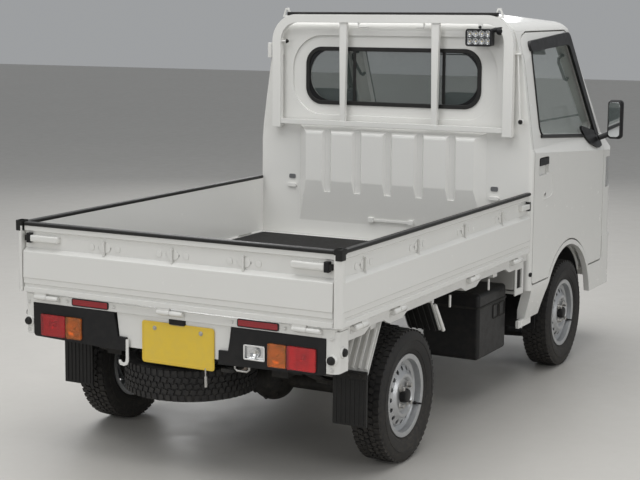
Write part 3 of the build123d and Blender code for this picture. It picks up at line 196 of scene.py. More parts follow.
# %% Finishes
WHITE = worn_surface("white paint", (0.76, 0.755, 0.725), dust=(0, 0.1, 0.45), gloss=(0.2, 0.28),
                     drift=0.015, grain=(900, 0.015), edge=0.003, Coat_Weight=0.3, Coat_Roughness=0.15)
BED_WHITE = worn_surface("bed white paint", (0.72, 0.715, 0.69), dust=(0.06, 0.1, 0.7), gloss=(0.3, 0.42),
                         drift=0.03, grain=(500, 0.03), edge=0.002)
CHASSIS_BLACK = worn_surface("chassis black", (0.014, 0.014, 0.014), dust=(0.05, 0.15, 0.6),
                             gloss=(0.45, 0.7), grain=(260, 0.2), Specular_IOR_Level=0.25)
SILVER = worn_surface("wheel silver", (0.52, 0.53, 0.54), dust=(0.08, 0.1, 0.5), gloss=(0.3, 0.45),
                      grain=(700, 0.05), Metallic=0.75, edge=0.0015)
STEEL = worn_surface("plated steel", (0.55, 0.54, 0.52), dust=(0.1, 0.2, 0.6), gloss=(0.3, 0.5),
                     grain=(600, 0.1), Metallic=1.0)
BLACK_PLASTIC = worn_surface("black plastic", (0.011, 0.011, 0.012), dust=(0.015, 0.05, 0.7),
                             gloss=(0.32, 0.45), grain=(1100, 0.15), Specular_IOR_Level=0.25)
GREY_PLASTIC = worn_surface("grey cabin plastic", (0.13, 0.135, 0.14), dust=(0.03, 0, 1.0),
                            gloss=(0.5, 0.65), grain=(900, 0.3))
RUBBER = worn_surface("rail rubber", (0.014, 0.014, 0.014), dust=(0.03, 0, 1.0), gloss=(0.32, 0.5),
                      grain=(700, 0.2), blotch=8, Specular_IOR_Level=0.25)
MAT_RUBBER = worn_surface("mat rubber", (0.022, 0.022, 0.023), dust=(0.08, 0, 1.0), gloss=(0.5, 0.65),
                          grain=(500, 0.25), blotch=5, Specular_IOR_Level=0.25)
TYRE_RUBBER = worn_surface("tyre rubber", (0.018, 0.018, 0.019), dust=(0.08, 0.14, 0.35), gloss=(0.5, 0.7),
                           grain=(420, 0.25), blotch=7, edge=0, Specular_IOR_Level=0.25)
CAST_METAL = worn_surface("oily cast metal", (0.16, 0.155, 0.15), dust=(0.3, 0.2, 0.7), gloss=(0.4, 0.7),
                          grain=(220, 0.5), Metallic=0.6)
EXHAUST_STEEL = worn_surface("weathered exhaust steel", (0.3, 0.26, 0.23), dust=(0.3, 0.3, 0.7),
                             dust_colour=(0.22, 0.12, 0.07), gloss=(0.4, 0.65), grain=(300, 0.3),
                             Metallic=0.8)
print("finishes:", len(bpy.data.materials))

# %% [markdown]
# ## Glass and lamp lenses
# Window glass is clear with a slight green tint and a film of dust. Real refraction in a thin
# pane costs much and shows little, so the panes let straight light through and keep the gloss
# on top. Lamp lenses are coloured plastic, with small prisms from a wave pattern in the bump.

# %% Glass and lenses
def clear_pane(name, tint, clear, rough):
    """A thin pane: gloss from the shader, seen through by alpha."""
    material, tree, bsdf, place = start_material(name, Alpha=1 - clear, IOR=1.5, Specular_IOR_Level=0.6)
    film = noise(tree, place, 6.0, 7.0, 0.65)
    tree.links.new(blended(tree, film, [c * 0.8 for c in tint], tint), bsdf.inputs["Base Color"])
    tree.links.new(rescaled(tree, film, (0.3, 0.8), (rough, rough + 0.06)), bsdf.inputs["Roughness"])
    return material


def lens(name, colour, depth, clear=0.0):
    """Moulded lamp lens with rows of small prisms."""
    material, tree, bsdf, place = start_material(name, Roughness=0.12, IOR=1.49, Transmission_Weight=clear,
                                                 Coat_Weight=0.6, Coat_Roughness=0.03)
    prisms = add_node(tree, "TexWave", {"Vector": place, "Scale": 45.0}, bands_direction="Z",
                      wave_profile="TRI").outputs["Fac"]
    patch = noise(tree, place, 30.0, 3.0)
    tree.links.new(blended(tree, patch, [c * 0.75 for c in colour], colour), bsdf.inputs["Base Color"])
    bump = add_node(tree, "Bump", {"Height": prisms, "Strength": depth, "Distance": 0.002})
    tree.links.new(bump.outputs[0], bsdf.inputs["Normal"])
    return material


GLASS = clear_pane("window glass", (0.3, 0.36, 0.33), 0.8, 0.02)
DARK_GLASS = clear_pane("tinted rear glass", (0.11, 0.14, 0.13), 0.74, 0.02)
RED_LENS = lens("red lens", (0.95, 0.01, 0.022), 0.3, 0.85)
RED_REFLECTOR = lens("red reflector", (0.36, 0.006, 0.012), 0.3)
AMBER_LENS = lens("amber lens", (1.0, 0.36, 0.015), 0.3, 0.85)
CLEAR_LENS = lens("clear lens", (0.9, 0.91, 0.92), 0.3, 0.9)
print("clear finishes:", len([m for m in bpy.data.materials if "glass" in m.name or "lens" in m.name]))

# %% [markdown]
# ## Seat cloth
# The seats are covered in a dark woven cloth. Two crossing wave patterns make its threads,
# a noise breaks them up, and a little sheen gives the soft edge that cloth shows.

# %% Seat cloth
def woven_cloth(name, colour, threads):
    material, tree, bsdf, place = start_material(name, Roughness=0.9, Sheen_Weight=0.35,
                                                 Sheen_Roughness=0.4)
    inputs = {"Vector": place, "Scale": threads, "Distortion": 0.6, "Detail": 2.0}
    warp, weft = (add_node(tree, "TexWave", inputs, bands_direction=way).outputs["Fac"]
                  for way in ("Y", "DIAGONAL"))
    weave = calculate(tree, "MULTIPLY", warp, weft)
    mixed = calculate(tree, "ADD", weave, noise(tree, place, 14.0, 5.0))
    shade = blended(tree, mixed, [c * 0.6 for c in colour], [c * 1.3 for c in colour], clamp_factor=True)
    tree.links.new(shade, bsdf.inputs["Base Color"])
    bump = add_node(tree, "Bump", {"Height": weave, "Strength": 0.4, "Distance": 0.001})
    tree.links.new(bump.outputs[0], bsdf.inputs["Normal"])
    return material


SEAT_CLOTH = woven_cloth("seat cloth", (0.075, 0.08, 0.085), 160.0)

# %% [markdown]
# ## Which finish goes on which CAD piece
# A CAD piece keeps its mesh and only changes its material slots. A short table says which
# finish each one wears.

# %% Dress the CAD pieces
DRESS = {
    WHITE: ("bumper_grille", "cab_back_panel", "cab_floor", "cab_frame", "cab_front_panel", "cab_roof",
            "door_left", "door_right", "front_bumper", "gate_left", "gate_right", "guard_frame", "rear_panel",
            "tailgate"),
    BED_WHITE: ("bed_floor",),
    CHASSIS_BLACK: ("chassis_frame", "rear_axle", "knuckle_left", "knuckle_right", "fuel_tank"),
    SILVER: ("rim_front_left", "rim_front_right", "rim_rear_left", "rim_rear_right"),
    TYRE_RUBBER: ("tyre_front_left", "tyre_front_right", "tyre_rear_left", "tyre_rear_right", "spare_wheel"),
    BLACK_PLASTIC: ("door_trim_left", "door_trim_right", "lamp_panels", "work_lamp", "steering_wheel",
                    "battery_box"),
    RUBBER: ("gate_guard_left", "gate_guard_right", "tailgate_guard", "mudflaps"),
    MAT_RUBBER: ("bed_mat",),
    GREY_PLASTIC: ("dashboard",),
    GLASS: ("door_glass_left", "door_glass_right", "windscreen"),
    DARK_GLASS: ("rear_window",),
    RED_LENS: ("rear_lenses",),
    CLEAR_LENS: ("clear_lamps",),
    SEAT_CLOTH: ("seats",),
    CAST_METAL: ("engine_block",),
    EXHAUST_STEEL: ("exhaust",),
}
for material, names in DRESS.items():
    for name in names:
        for held in NODES[name].material_slots:
            held.material = material
print("undressed:", sorted(set(NODES) - {n for names in DRESS.values() for n in names}))

# %% [markdown]
# ## Helpers for mesh pieces
# The added pieces are built with bmesh, because code can then state every size. Each of these
# small builders adds to an open bmesh, so several shapes can become one piece.

# %% Mesh builders
def open_meshes(count):
    return [bmesh.new() for _ in range(count)]


def add_box(bm, low, high):
    low, high = Vector(low), Vector(high)
    place = Matrix.Translation((low + high) / 2) @ Matrix.Diagonal((high - low).to_4d())
    bmesh.ops.create_cube(bm, size=1, matrix=place)


def add_bar(bm, start, end, radius, end_radius=None, sides=20):
    start, end = Vector(start), Vector(end)
    run = end - start
    place = Matrix.Translation((start + end) / 2) @ run.to_track_quat("Z", "Y").to_matrix().to_4x4()
    second = radius if end_radius is None else end_radius
    bmesh.ops.create_cone(bm, cap_ends=True, segments=sides, radius1=radius, radius2=second,
                          depth=run.length, matrix=place)


def add_ball(bm, place, radius, around=16, rows=10):
    """Ball at a place, which is a matrix."""
    bmesh.ops.create_uvsphere(bm, u_segments=around, v_segments=rows, radius=radius, matrix=place)


def axis_frame(centre, axis):
    """Matrix that carries the local Z axis onto the axis through the centre."""
    return Matrix.Translation(centre) @ Vector(axis).to_track_quat("Z", "Y").to_matrix().to_4x4()


def add_turned(bm, profile, centre, axis, sides=64):
    """Profile of (radius, along) points turned about an axis; off the axis its ends are joined."""
    place = axis_frame(centre, axis)
    rings = []
    for radius, along in profile:
        if radius < 1e-6:
            rings.append([bm.verts.new(place @ Vector((0, 0, along)))])
            continue
        rings.append([bm.verts.new(place @ Vector((radius * cos(a), radius * sin(a), along)))
                      for a in (2 * pi * i / sides for i in range(sides))])
    pairs = list(zip(rings, rings[1:])) + ([(rings[-1], rings[0])] if len(rings[0]) > 1 else [])
    for one, two in pairs:
        for i in range(sides):
            j = (i + 1) % sides
            corners = [one[i % len(one)], one[j % len(one)], two[j % len(two)], two[i % len(two)]]
            unique = list(dict.fromkeys(corners))
            if len(unique) > 2:
                bm.faces.new(unique)


def bridge(bm, one, two):
    """Four-cornered faces between two closed loops with as many corners each."""
    for i in range(len(one)):
        j = (i + 1) % len(one)
        bm.faces.new((one[i], one[j], two[j], two[i]))


def loop_at(bm, outline, along, level):
    """Corners of a flat outline, set at a level along X, Y or Z."""
    k = "XYZ".index(along)
    return [bm.verts.new((*point[:k], level, *point[k:])) for point in outline]


def add_plate(bm, outline, along, low, high):
    """Flat outline run along X, Y or Z. Its points are the other two coordinates in order."""
    first, last = (loop_at(bm, outline, along, level) for level in (low, high))
    bridge(bm, first, last)
    caps = [bm.faces.new(first[::-1]), bm.faces.new(last)]
    bmesh.ops.triangulate(bm, faces=caps)


def add_swept(bm, path, radius, sides=10, closed=False):
    """Round bar that follows a path of points."""
    path = [Vector(p) for p in path]
    count = len(path)
    rings = []
    side = None
    for i, point in enumerate(path):
        before = path[i - 1] if i or closed else path[i]
        after = path[(i + 1) % count] if i < count - 1 or closed else path[i]
        run = (after - before).normalized()
        if side is None:
            side = run.orthogonal().normalized()
        side = (side - run * side.dot(run)).normalized()
        other = run.cross(side)
        rings.append([bm.verts.new(point + (side * cos(a) + other * sin(a)) * radius)
                      for a in (2 * pi * k / sides for k in range(sides))])
    for i in range(count if closed else count - 1):
        bridge(bm, rings[i], rings[(i + 1) % count])
    if not closed:
        bm.faces.new(rings[0][::-1])
        bm.faces.new(rings[-1])


# %% [markdown]
# ## Outlines
# Pressed and moulded parts have rounded corners, so most outlines start as a polygon whose
# corners are then rounded. The truck is nearly the same on both sides, so a sign turns a
# distance from its middle into a place on the left or the right.

# %% Outlines
SIDES = (("left", 1), ("right", -1))


def rounded(corners, radius, steps=5):
    """Outline of a polygon with every corner rounded."""
    points = []
    count = len(corners)
    for i, corner in enumerate(corners):
        here = Vector(corner)
        back = (Vector(corners[i - 1]) - here).normalized()
        ahead = (Vector(corners[(i + 1) % count]) - here).normalized()
        half = back.angle(ahead) / 2
        reach = radius / tan(half)
        centre = here + (back + ahead).normalized() * (radius / sin(half))
        first, last = here + back * reach - centre, here + ahead * reach - centre
        sweep = first.angle_signed(last)
        for k in range(steps + 1):
            points.append(tuple(centre + Matrix.Rotation(-sweep * k / steps, 2) @ first))
    return points


def block_outline(low, high, radius, steps=5):
    """Rounded rectangle from its low and high corners."""
    (a, b), (c, d) = low, high
    return rounded([(a, b), (c, b), (c, d), (a, d)], radius, steps)


def inset(low, high, by):
    """Low and high corners moved inward."""
    return (low[0] + by, low[1] + by), (high[0] - by, high[1] - by)


def span(sign, near, far):
    """Two distances from the middle as the low and high y of one side."""
    return sorted((sign * near, sign * far))


# %% [markdown]
# ## Finished pieces
# A piece is done when its mesh is clean, its normals look outward, it has its finish and soft
# edges, and it rides on its body. One helper does all of it for a bmesh, and a second one for
# a mesh that is already there. Most pieces ride on the chassis.

# %% Finished pieces
MERGE_DISTANCE = 1e-5


def add_piece(name, bm, material, slot=None, **more):
    """Closes a bmesh into a piece that rides on a body."""
    bmesh.ops.remove_doubles(bm, verts=bm.verts, dist=MERGE_DISTANCE)
    bmesh.ops.recalc_face_normals(bm, faces=bm.faces)
    mesh = bpy.data.meshes.new(name)
    bm.to_mesh(mesh)
    bm.free()
    place_piece(name, mesh, material, slot, **more)


def place_piece(name, mesh, material, slot=None, body="chassis", bevel=0.0, sharp=32, replaces=()):
    mesh.materials.clear()
    mesh.materials.append(material)
    mesh.shade_smooth()
    mesh.set_sharp_from_angle(angle=radians(sharp))
    made = bpy.data.objects.new(name, mesh)
    bpy.context.collection.objects.link(made)
    if bevel:
        softened = made.modifiers.new("soft edges", "BEVEL")
        softened.width = bevel
        softened.segments = 2
        softened.limit_method = "ANGLE"
        softened.angle_limit = radians(40)
        softened.harden_normals = False
    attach(made, body)
    if replaces:
        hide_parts(*replaces)
    return made


# %% [markdown]
# ## Tyre carcass
# A tyre is a ring whose cross-section carries a raised bead, a bulging sidewall with a
# few moulded rings, a shoulder and a crowned tread. Turning one profile makes it. The tread
# here is only the floor of the grooves, because the blocks come next.

# %% Tyre carcass
WHEEL_CENTRES = {}
for axle in ("front", "rear"):
    for side, _ in SIDES:
        low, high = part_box(f"tyre_{axle}_{side}")
        WHEEL_CENTRES[f"{axle}_{side}"] = (low + high) / 2
TYRE_R = (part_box("tyre_rear_left")[1].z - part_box("tyre_rear_left")[0].z) / 2
GROOVE_DEPTH = 0.0065
CARCASS = [
    (0.1526, 0.046), (0.158, 0.05), (0.168, 0.052), (0.171, 0.0535), (0.173, 0.0555), (0.176, 0.0565),
    (0.18, 0.06), (0.184, 0.0615), (0.186, 0.0645), (0.188, 0.0645), (0.19, 0.0655), (0.204, 0.069),
    (0.216, 0.07), (0.222, 0.0704), (0.223, 0.0722), (0.227, 0.0722), (0.228, 0.0702), (0.238, 0.0688),
    (0.248, 0.0662), (TYRE_R - 0.013, 0.0625), (TYRE_R - GROOVE_DEPTH - 0.002, 0.0575),
    (TYRE_R - GROOVE_DEPTH, 0.045)]
CARCASS_RING = CARCASS + [(r, -y) for r, y in reversed(CARCASS)]


def tyre_carcass(centre, axis=(0, 1, 0)):
    bm = bmesh.new()
    add_turned(bm, CARCASS_RING, centre, axis, sides=96)
    return bm


# %% [markdown]
# ## Helpers for node trees
# What repeats many times is left to Geometry Nodes. One helper starts a tree with named
# inputs, one ends it in a material, and one runs it and keeps the result as a plain piece.

# %% Geometry tree helpers
def add_geo(tree, kind, inputs=None, prefix="GeometryNode", **settings):
    """First output of a new geometry node."""
    return add_node(tree, kind, inputs, prefix, **settings).outputs[0]


def join(tree, parts):
    joined = add_node(tree, "JoinGeometry", prefix="GeometryNode")
    for part in parts:
        tree.links.new(part, joined.inputs[0])
    return joined.outputs[0]


def start_tree(name, inputs):
    """Geometry node group with named inputs; returns the tree and its input node's sockets by name."""
    tree = bpy.data.node_groups.new(name, "GeometryNodeTree")
    tree.interface.new_socket("Geometry", in_out="INPUT", socket_type="NodeSocketGeometry")
    tree.interface.new_socket("Geometry", in_out="OUTPUT", socket_type="NodeSocketGeometry")
    for label, (kind, value) in inputs.items():
        made = tree.interface.new_socket(label, in_out="INPUT", socket_type="NodeSocket" + kind)
        if value is not None:
            made.default_value = value
    return tree, tree.nodes.new("NodeGroupInput").outputs


def end_tree(tree, geometry, material):
    """Ends the tree in Realize Instances and Set Material."""
    real = add_geo(tree, "RealizeInstances", {"Geometry": geometry})
    finished = add_geo(tree, "SetMaterial", {"Geometry": real, "Material": material})
    tree.links.new(finished, tree.nodes.new("NodeGroupOutput").inputs[0])


def grow(name, tree, sizes, material, source=None, **more):
    """Runs a tree on a mesh, with its inputs set by identifier, and keeps the result as a plain piece."""
    holder = bpy.data.objects.new(name + " holder", source or bpy.data.meshes.new(name + " seed"))
    bpy.context.collection.objects.link(holder)
    modifier = holder.modifiers.new("nodes", "NODES")
    modifier.node_group = tree
    for item in tree.interface.items_tree:
        if item.in_out == "INPUT" and item.name in sizes:
            modifier[item.identifier] = sizes[item.name]
    evaluated = holder.evaluated_get(bpy.context.evaluated_depsgraph_get())
    mesh = bpy.data.meshes.new_from_object(evaluated)
    holder.modifiers.remove(modifier)
    bpy.data.objects.remove(holder)
    mesh.name = name
    return place_piece(name, mesh, material, **more)


# %% [markdown]
# ## Tread blocks with Geometry Nodes
# The tread repeats one block all round the tyre in several rows, so a node tree fits: a
# circle gives the places, and a small block is set on each and turned outward. Every row is
# the same tree part with its own numbers. The tree's inputs are the tyre's real sizes.

# %% Tread tree
SHOULDER_Y = 0.0485
CROWN_DROP = 0.0022
# Each row: place across the tread, block width, share of the pitch, twist, start angle
TREAD_ROWS = [(0, 0.017, 0.74, 0.35, 0), (0.0235, 0.019, 0.72, -0.3, 0.5),
              (-0.0235, 0.019, 0.72, -0.3, 0.5), (SHOULDER_Y, 0.024, 0.62, 0.12, 0),
              (-SHOULDER_Y, 0.024, 0.62, 0.12, 0)]


def tread_tree(material):
    tree, sizes = start_tree("tread", {
        "Tyre radius": ("Float", 0.2685), "Blocks round": ("Int", 58), "Depth": ("Float", 0.009),
        "Centre": ("Vector", None), "Turn": ("Vector", None)})
    pitch = calculate(tree, "DIVIDE", sizes["Tyre radius"], sizes["Blocks round"])
    reach = calculate(tree, "MULTIPLY", sizes["Depth"], 0.5)
    middle_r = calculate(tree, "SUBTRACT", sizes["Tyre radius"], reach)
    rows = []
    for across, width, share, twist, start in TREAD_ROWS:
        crown = CROWN_DROP * (abs(across) / SHOULDER_Y) ** 2
        ring_r = calculate(tree, "SUBTRACT", middle_r, crown + 0.0003)
        ring = add_geo(tree, "MeshCircle", {"Vertices": sizes["Blocks round"], "Radius": ring_r})
        length = calculate(tree, "MULTIPLY", pitch, 2 * pi * share)
        size = add_node(tree, "CombineXYZ", {"X": length, "Y": width, "Z": sizes["Depth"]}).outputs[0]
        cube = add_geo(tree, "MeshCube", {"Size": size})
        twisted = add_geo(tree, "Transform", {"Geometry": cube, "Rotation": (0, 0, twist)})
        outward = add_geo(tree, "InputPosition")
        turn = add_geo(tree, "AlignEulerToVector", {"Vector": outward}, "FunctionNode", axis="Z")
        upright = add_geo(tree, "AlignEulerToVector", {"Rotation": turn, "Vector": (0, 0, 1)},
                          "FunctionNode", axis="Y", pivot_axis="Z")
        blocks = add_geo(tree, "InstanceOnPoints", {"Points": ring, "Instance": twisted, "Rotation": upright})
        half = calculate(tree, "DIVIDE", start * 2 * pi, sizes["Blocks round"])
        angle = add_node(tree, "CombineXYZ", {"Z": half}).outputs[0]
        move = {"Geometry": blocks, "Translation": (0, 0, across), "Rotation": angle}
        rows.append(add_geo(tree, "Transform", move))
    placed = add_geo(tree, "Transform", {"Geometry": join(tree, rows), "Translation": sizes["Centre"],
                                         "Rotation": sizes["Turn"]})
    end_tree(tree, placed, material)
    return tree


TREAD = tread_tree(TYRE_RUBBER)
for name, centre in WHEEL_CENTRES.items():
    body = "wheel_" + name
    add_piece("tyre_wall_" + name, tyre_carcass(centre), TYRE_RUBBER, body=body, sharp=24,
              replaces=["tyre_" + name])
    sizes = {"Tyre radius": TYRE_R, "Centre": centre, "Turn": (pi / 2, 0, 0)}
    blocks = grow("tyre_tread_" + name, TREAD, sizes, TYRE_RUBBER, body=body, sharp=30)
print("tread triangles on one tyre:", len(blocks.data.polygons) * 2)

# %% [markdown]
# ## Bolt heads
# The truck is held together by hexagon heads of one kind in several sizes. A head is made
# once in a node tree and set on the points of a mesh, one point for each bolt, which carries
# the direction in which its head looks.

# %% Bolt tree
def bolt_tree(material):
    tree, sizes = start_tree("bolt heads " + material.name, {
        "Across": ("Float", 0.012), "Height": ("Float", 0.006), "Washer": ("Float", 0.009)})
    foot_r = calculate(tree, "MULTIPLY", sizes["Across"], 0.5)
    top_r = calculate(tree, "MULTIPLY", foot_r, 0.86)
    head = add_geo(tree, "MeshCone", {"Vertices": 6, "Depth": sizes["Height"], "Radius Bottom": foot_r,
                                      "Radius Top": top_r}, fill_type="NGON")
    washer = add_geo(tree, "MeshCylinder", {"Vertices": 16, "Radius": sizes["Washer"], "Depth": 0.002})
    facing = add_geo(tree, "InputNamedAttribute", {"Name": "facing"}, data_type="FLOAT_VECTOR")
    turn = add_geo(tree, "AlignEulerToVector", {"Vector": facing}, "FunctionNode", axis="Z")
    placed = add_geo(tree, "InstanceOnPoints", {"Points": sizes["Geometry"], "Rotation": turn,
                                                "Instance": join(tree, (head, washer))})
    end_tree(tree, placed, material)
    return tree


def points_mesh(points, directions):
    """Mesh of loose points, each with the direction in which its bolt looks."""
    mesh = bpy.data.meshes.new("points")
    mesh.from_pydata([tuple(p) for p in points], [], [])
    facing = mesh.attributes.new("facing", "FLOAT_VECTOR", "POINT")
    facing.data.foreach_set("vector", [c for d in directions for c in d])
    return mesh


BOLT_TREES = {material: bolt_tree(material) for material in (STEEL, WHITE, CHASSIS_BLACK)}


def bolts(name, places, material, across=0.012, height=0.006, body="chassis"):
    """Bolt heads at (point, direction) places."""
    seed = points_mesh([p for p, _ in places], [d for _, d in places])
    sizes = {"Across": across, "Height": height, "Washer": across * 0.68}
    grow(name, BOLT_TREES[material], sizes, material, source=seed, body=body, sharp=25)


# %% [markdown]
# ## Wheel nuts, caps and valves
# Each steel wheel is held by four hexagon nuts on a ring round a black centre cap, with the
# end of a stud showing in each nut and a tyre valve near the rim.

# %% Wheel fittings
NUT_COUNT = 4
NUT_CIRCLE_R = 0.05
NUT_FACE = 0.042
STUD = [(0, 0.011), (0.0045, 0.01), (0.0062, 0.006), (0.0062, -0.004), (0, -0.004)]
CAP = [(0, 0.026), (0.018, 0.026), (0.026, 0.023), (0.0285, 0.017), (0.03, 0.006), (0.031, -0.004),
       (0.024, -0.004), (0, -0.004)]
VALVE = [(0, 0.034), (0.0035, 0.033), (0.004, 0.024), (0.0032, 0.022), (0.0032, 0.012), (0.006, 0.008),
         (0.0075, 0), (0, 0)]
for name, centre in WHEEL_CENTRES.items():
    sign = 1 if name.endswith("left") else -1
    outward = Vector((0, sign, 0))
    body = "wheel_" + name
    nut_places = []
    for i in range(NUT_COUNT):
        a = pi / 4 + i * pi / 2
        away = Vector((cos(a) * NUT_CIRCLE_R, sign * (NUT_FACE + 0.007), sin(a) * NUT_CIRCLE_R))
        nut_places.append((centre + away, outward))
    bolts("wheel_nuts_" + name, nut_places, STEEL, across=0.021, height=0.016, body=body)
    stud_bm, cap_bm, valve_bm = open_meshes(3)
    for place, _ in nut_places:
        add_turned(stud_bm, STUD, place, outward, sides=16)
    add_turned(cap_bm, CAP, centre + outward * NUT_FACE, outward, sides=40)
    foot = centre + Vector((0.128, sign * 0.034, -0.062))
    add_turned(valve_bm, VALVE, foot, outward, sides=16)
    add_piece("wheel_studs_" + name, stud_bm, STEEL, body=body)
    add_piece("wheel_cap_" + name, cap_bm, BLACK_PLASTIC, body=body)
    add_piece("tyre_valve_" + name, valve_bm, BLACK_PLASTIC, body=body)
print("wheels dressed:", len(WHEEL_CENTRES))

# %% [markdown]
# ## Rings and frames
# Lamp covers, their rims and later the window seals are flat rings. One helper builds a ring
# between two outlines. Two more give a rounded rectangle as a plate and as a frame.

# %% Rings and frames
BACK = (-1, 0, 0)
AHEAD = (1, 0, 0)
UP = (0, 0, 1)


def add_ring(bm, outer, inner, along, low, high):
    """Closed ring between two outlines with as many points each, run along X, Y or Z."""
    outer_low, outer_high, inner_low, inner_high = (
        loop_at(bm, outline, along, level) for outline in (outer, inner) for level in (low, high))
    bridge(bm, outer_low, outer_high)
    bridge(bm, outer_high, inner_high)
    bridge(bm, inner_high, inner_low)
    bridge(bm, inner_low, outer_low)


def add_panel(bm, low, high, radius, along, near, far, steps=5):
    """Rounded rectangle with thickness."""
    add_plate(bm, block_outline(low, high, radius, steps), along, near, far)


def add_frame(bm, low, high, radius, width, along, near, far):
    """Ring that follows a rounded rectangle, width inward from its edge."""
    inner = block_outline(*inset(low, high, width), max(radius - width, 0.001))
    add_ring(bm, block_outline(low, high, radius), inner, along, near, far)


# %% [markdown]
# ## Parts of a rear lamp
# A lamp reads as real when there is depth behind its cover. So the CAD lenses are replaced
# by thin hollow covers over a silver tray in cells, one with a bright bowl and a bulb. The
# reversing lamp keeps the CAD's clear block as its cover.

# %% Rear lamp parts
TAIL_X = CAD_BOX[0][0]
PANEL_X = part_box("lamp_panels")[0].x
LENS_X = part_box("rear_lenses")[0].x
TRAY_X = LENS_X + 0.0115
CELL_RIBS = 9
LAMP_SILVER = worn_surface("lamp silver", (0.8, 0.8, 0.8), gloss=(0.12, 0.2), grain=(900, 0.02),
                           drift=0.03, edge=0, Metallic=1.0)
BULB_GLASS = clear_pane("bulb glass", (0.9, 0.85, 0.75), 0.35, 0.05)
tray_bm, rim_bm, bulb_bm = open_meshes(3)


def add_lamp_cover(bm, low, high):
    add_panel(bm, *inset(low, high, 0.002), 0.005, "X", LENS_X + 0.0002, LENS_X + 0.0018)
    add_frame(bm, low, high, 0.007, 0.0022, "X", LENS_X + 0.001, TRAY_X - 0.001)


def add_lit_cell(middle, half):
    bowl = [(half, -0.0075), (half * 0.85, -0.004), (half * 0.6, -0.0015), (0.006, 0),
            (half * 0.6, -0.0008), (half * 0.88, -0.0038), (half + 0.0008, -0.0075)]
    add_turned(tray_bm, bowl, middle, AHEAD, sides=32)
    add_ball(bulb_bm, Matrix.Translation(middle + Vector((-0.0035, 0, 0))), 0.0045)


def add_ribbed_cell(start, end, low_z, high_z):
    for k in range(1, CELL_RIBS):
        z = low_z + (high_z - low_z) * k / CELL_RIBS
        add_box(tray_bm, (TRAY_X - 0.003, start + 0.002, z - 0.0014), (TRAY_X, end - 0.002, z + 0.0014))


def add_tray(low, high, cells, lit):
    """Back plate, the walls between cells, and in each cell a bulb or ribs."""
    add_panel(tray_bm, low, high, 0.006, "X", TRAY_X - 0.0008, TRAY_X + 0.0004)
    start = low[0]
    for i, share in enumerate(cells):
        end = start + share * (high[0] - low[0])
        if i:
            add_box(tray_bm, (LENS_X + 0.003, start - 0.0006, low[1] + 0.003),
                    (TRAY_X, start + 0.0006, high[1] - 0.003))
        if i == lit:
            middle = Vector((TRAY_X - 0.001, (start + end) / 2, (low[1] + high[1]) / 2))
            add_lit_cell(middle, min(end - start, high[1] - low[1]) / 2 - 0.004)
        else:
            add_ribbed_cell(start, end, low[1], high[1])
        start = end


# %% [markdown]
# ## Lamps in place
# Each side has a wide red lamp and an amber one beside it. Only the right side has the
# reversing lamp, so a table lists the lamps of each side.

# %% Rear lamps
RED_Z = (0.483, 0.572)
# Each lamp: y from the middle, z, cover, share of the width for each cell, cell with the bulb
TAIL_LAMP = ((0.505, 0.629), RED_Z, RED_LENS, (0.33, 0.34, 0.33), 1)
TURN_LAMP = ((0.424, 0.505), RED_Z, AMBER_LENS, (1.0,), 0)
REVERSING_LAMP = ((0.328, 0.411), (0.503, 0.552), CLEAR_LENS, (1.0,), 0)
LAMPS = {"left": (TAIL_LAMP, TURN_LAMP), "right": (TAIL_LAMP, TURN_LAMP, REVERSING_LAMP)}
cover_bm = {RED_LENS: bmesh.new(), AMBER_LENS: bmesh.new()}
for side, sign in SIDES:
    for y_span, z_span, cover, cells, lit in LAMPS[side]:
        near, far = span(sign, *y_span)
        low, high = (near + 0.001, z_span[0]), (far - 0.001, z_span[1])
        if cover in cover_bm:
            add_lamp_cover(cover_bm[cover], low, high)
        add_frame(rim_bm, *inset(low, high, -0.004), 0.01, 0.0038, "X", PANEL_X - 0.0018, PANEL_X + 0.003)
        add_tray(low, high, cells, lit)
add_piece("tail_lamp_covers", cover_bm[RED_LENS], RED_LENS, replaces=["rear_lenses"])
add_piece("turn_lamp_covers", cover_bm[AMBER_LENS], AMBER_LENS)
add_piece("lamp_trays", tray_bm, LAMP_SILVER, "black_plastic")
add_piece("lamp_rims", rim_bm, BLACK_PLASTIC, bevel=0.0006)
add_piece("lamp_bulbs", bulb_bm, BULB_GLASS, "clear_lens")
print("rear lamps:", sum(len(lamps) for lamps in LAMPS.values()))

# %% [markdown]
# ## Reflectors
# Two red reflectors sit on the band above the lamps, each in a black lip, and the reversing
# lamp has a bright bezel.

# %% Reflectors
REFLECTOR_Y = (0.298, 0.469)
REFLECTOR_Z = (0.623, 0.648)
bm, lip_bm, bezel_bm = open_meshes(3)
for _, sign in SIDES:
    near, far = span(sign, *REFLECTOR_Y)
    low, high = (near, REFLECTOR_Z[0]), (far, REFLECTOR_Z[1])
    add_panel(bm, low, high, 0.006, "X", PANEL_X - 0.003, PANEL_X + 0.002)
    add_frame(lip_bm, *inset(low, high, -0.003), 0.008, 0.004, "X", PANEL_X - 0.004, PANEL_X + 0.002)
add_piece("rear_reflectors", bm, RED_REFLECTOR, bevel=0.0008)
add_piece("reflector_lips", lip_bm, BLACK_PLASTIC, bevel=0.0006)
add_frame(bezel_bm, (-0.4155, 0.4985), (-0.3235, 0.5565), 0.006, 0.006, "X", LENS_X - 0.0006,
          PANEL_X + 0.002)
add_piece("reversing_bezel", bezel_bm, LAMP_SILVER, "clear_lens", bevel=0.0008)
print("reflectors:", len(SIDES))

# %% [markdown]
# ## Number plate
# The plate is blank yellow with a raised border, held by two screws on a black bracket, and
# a small lamp looks down on it.

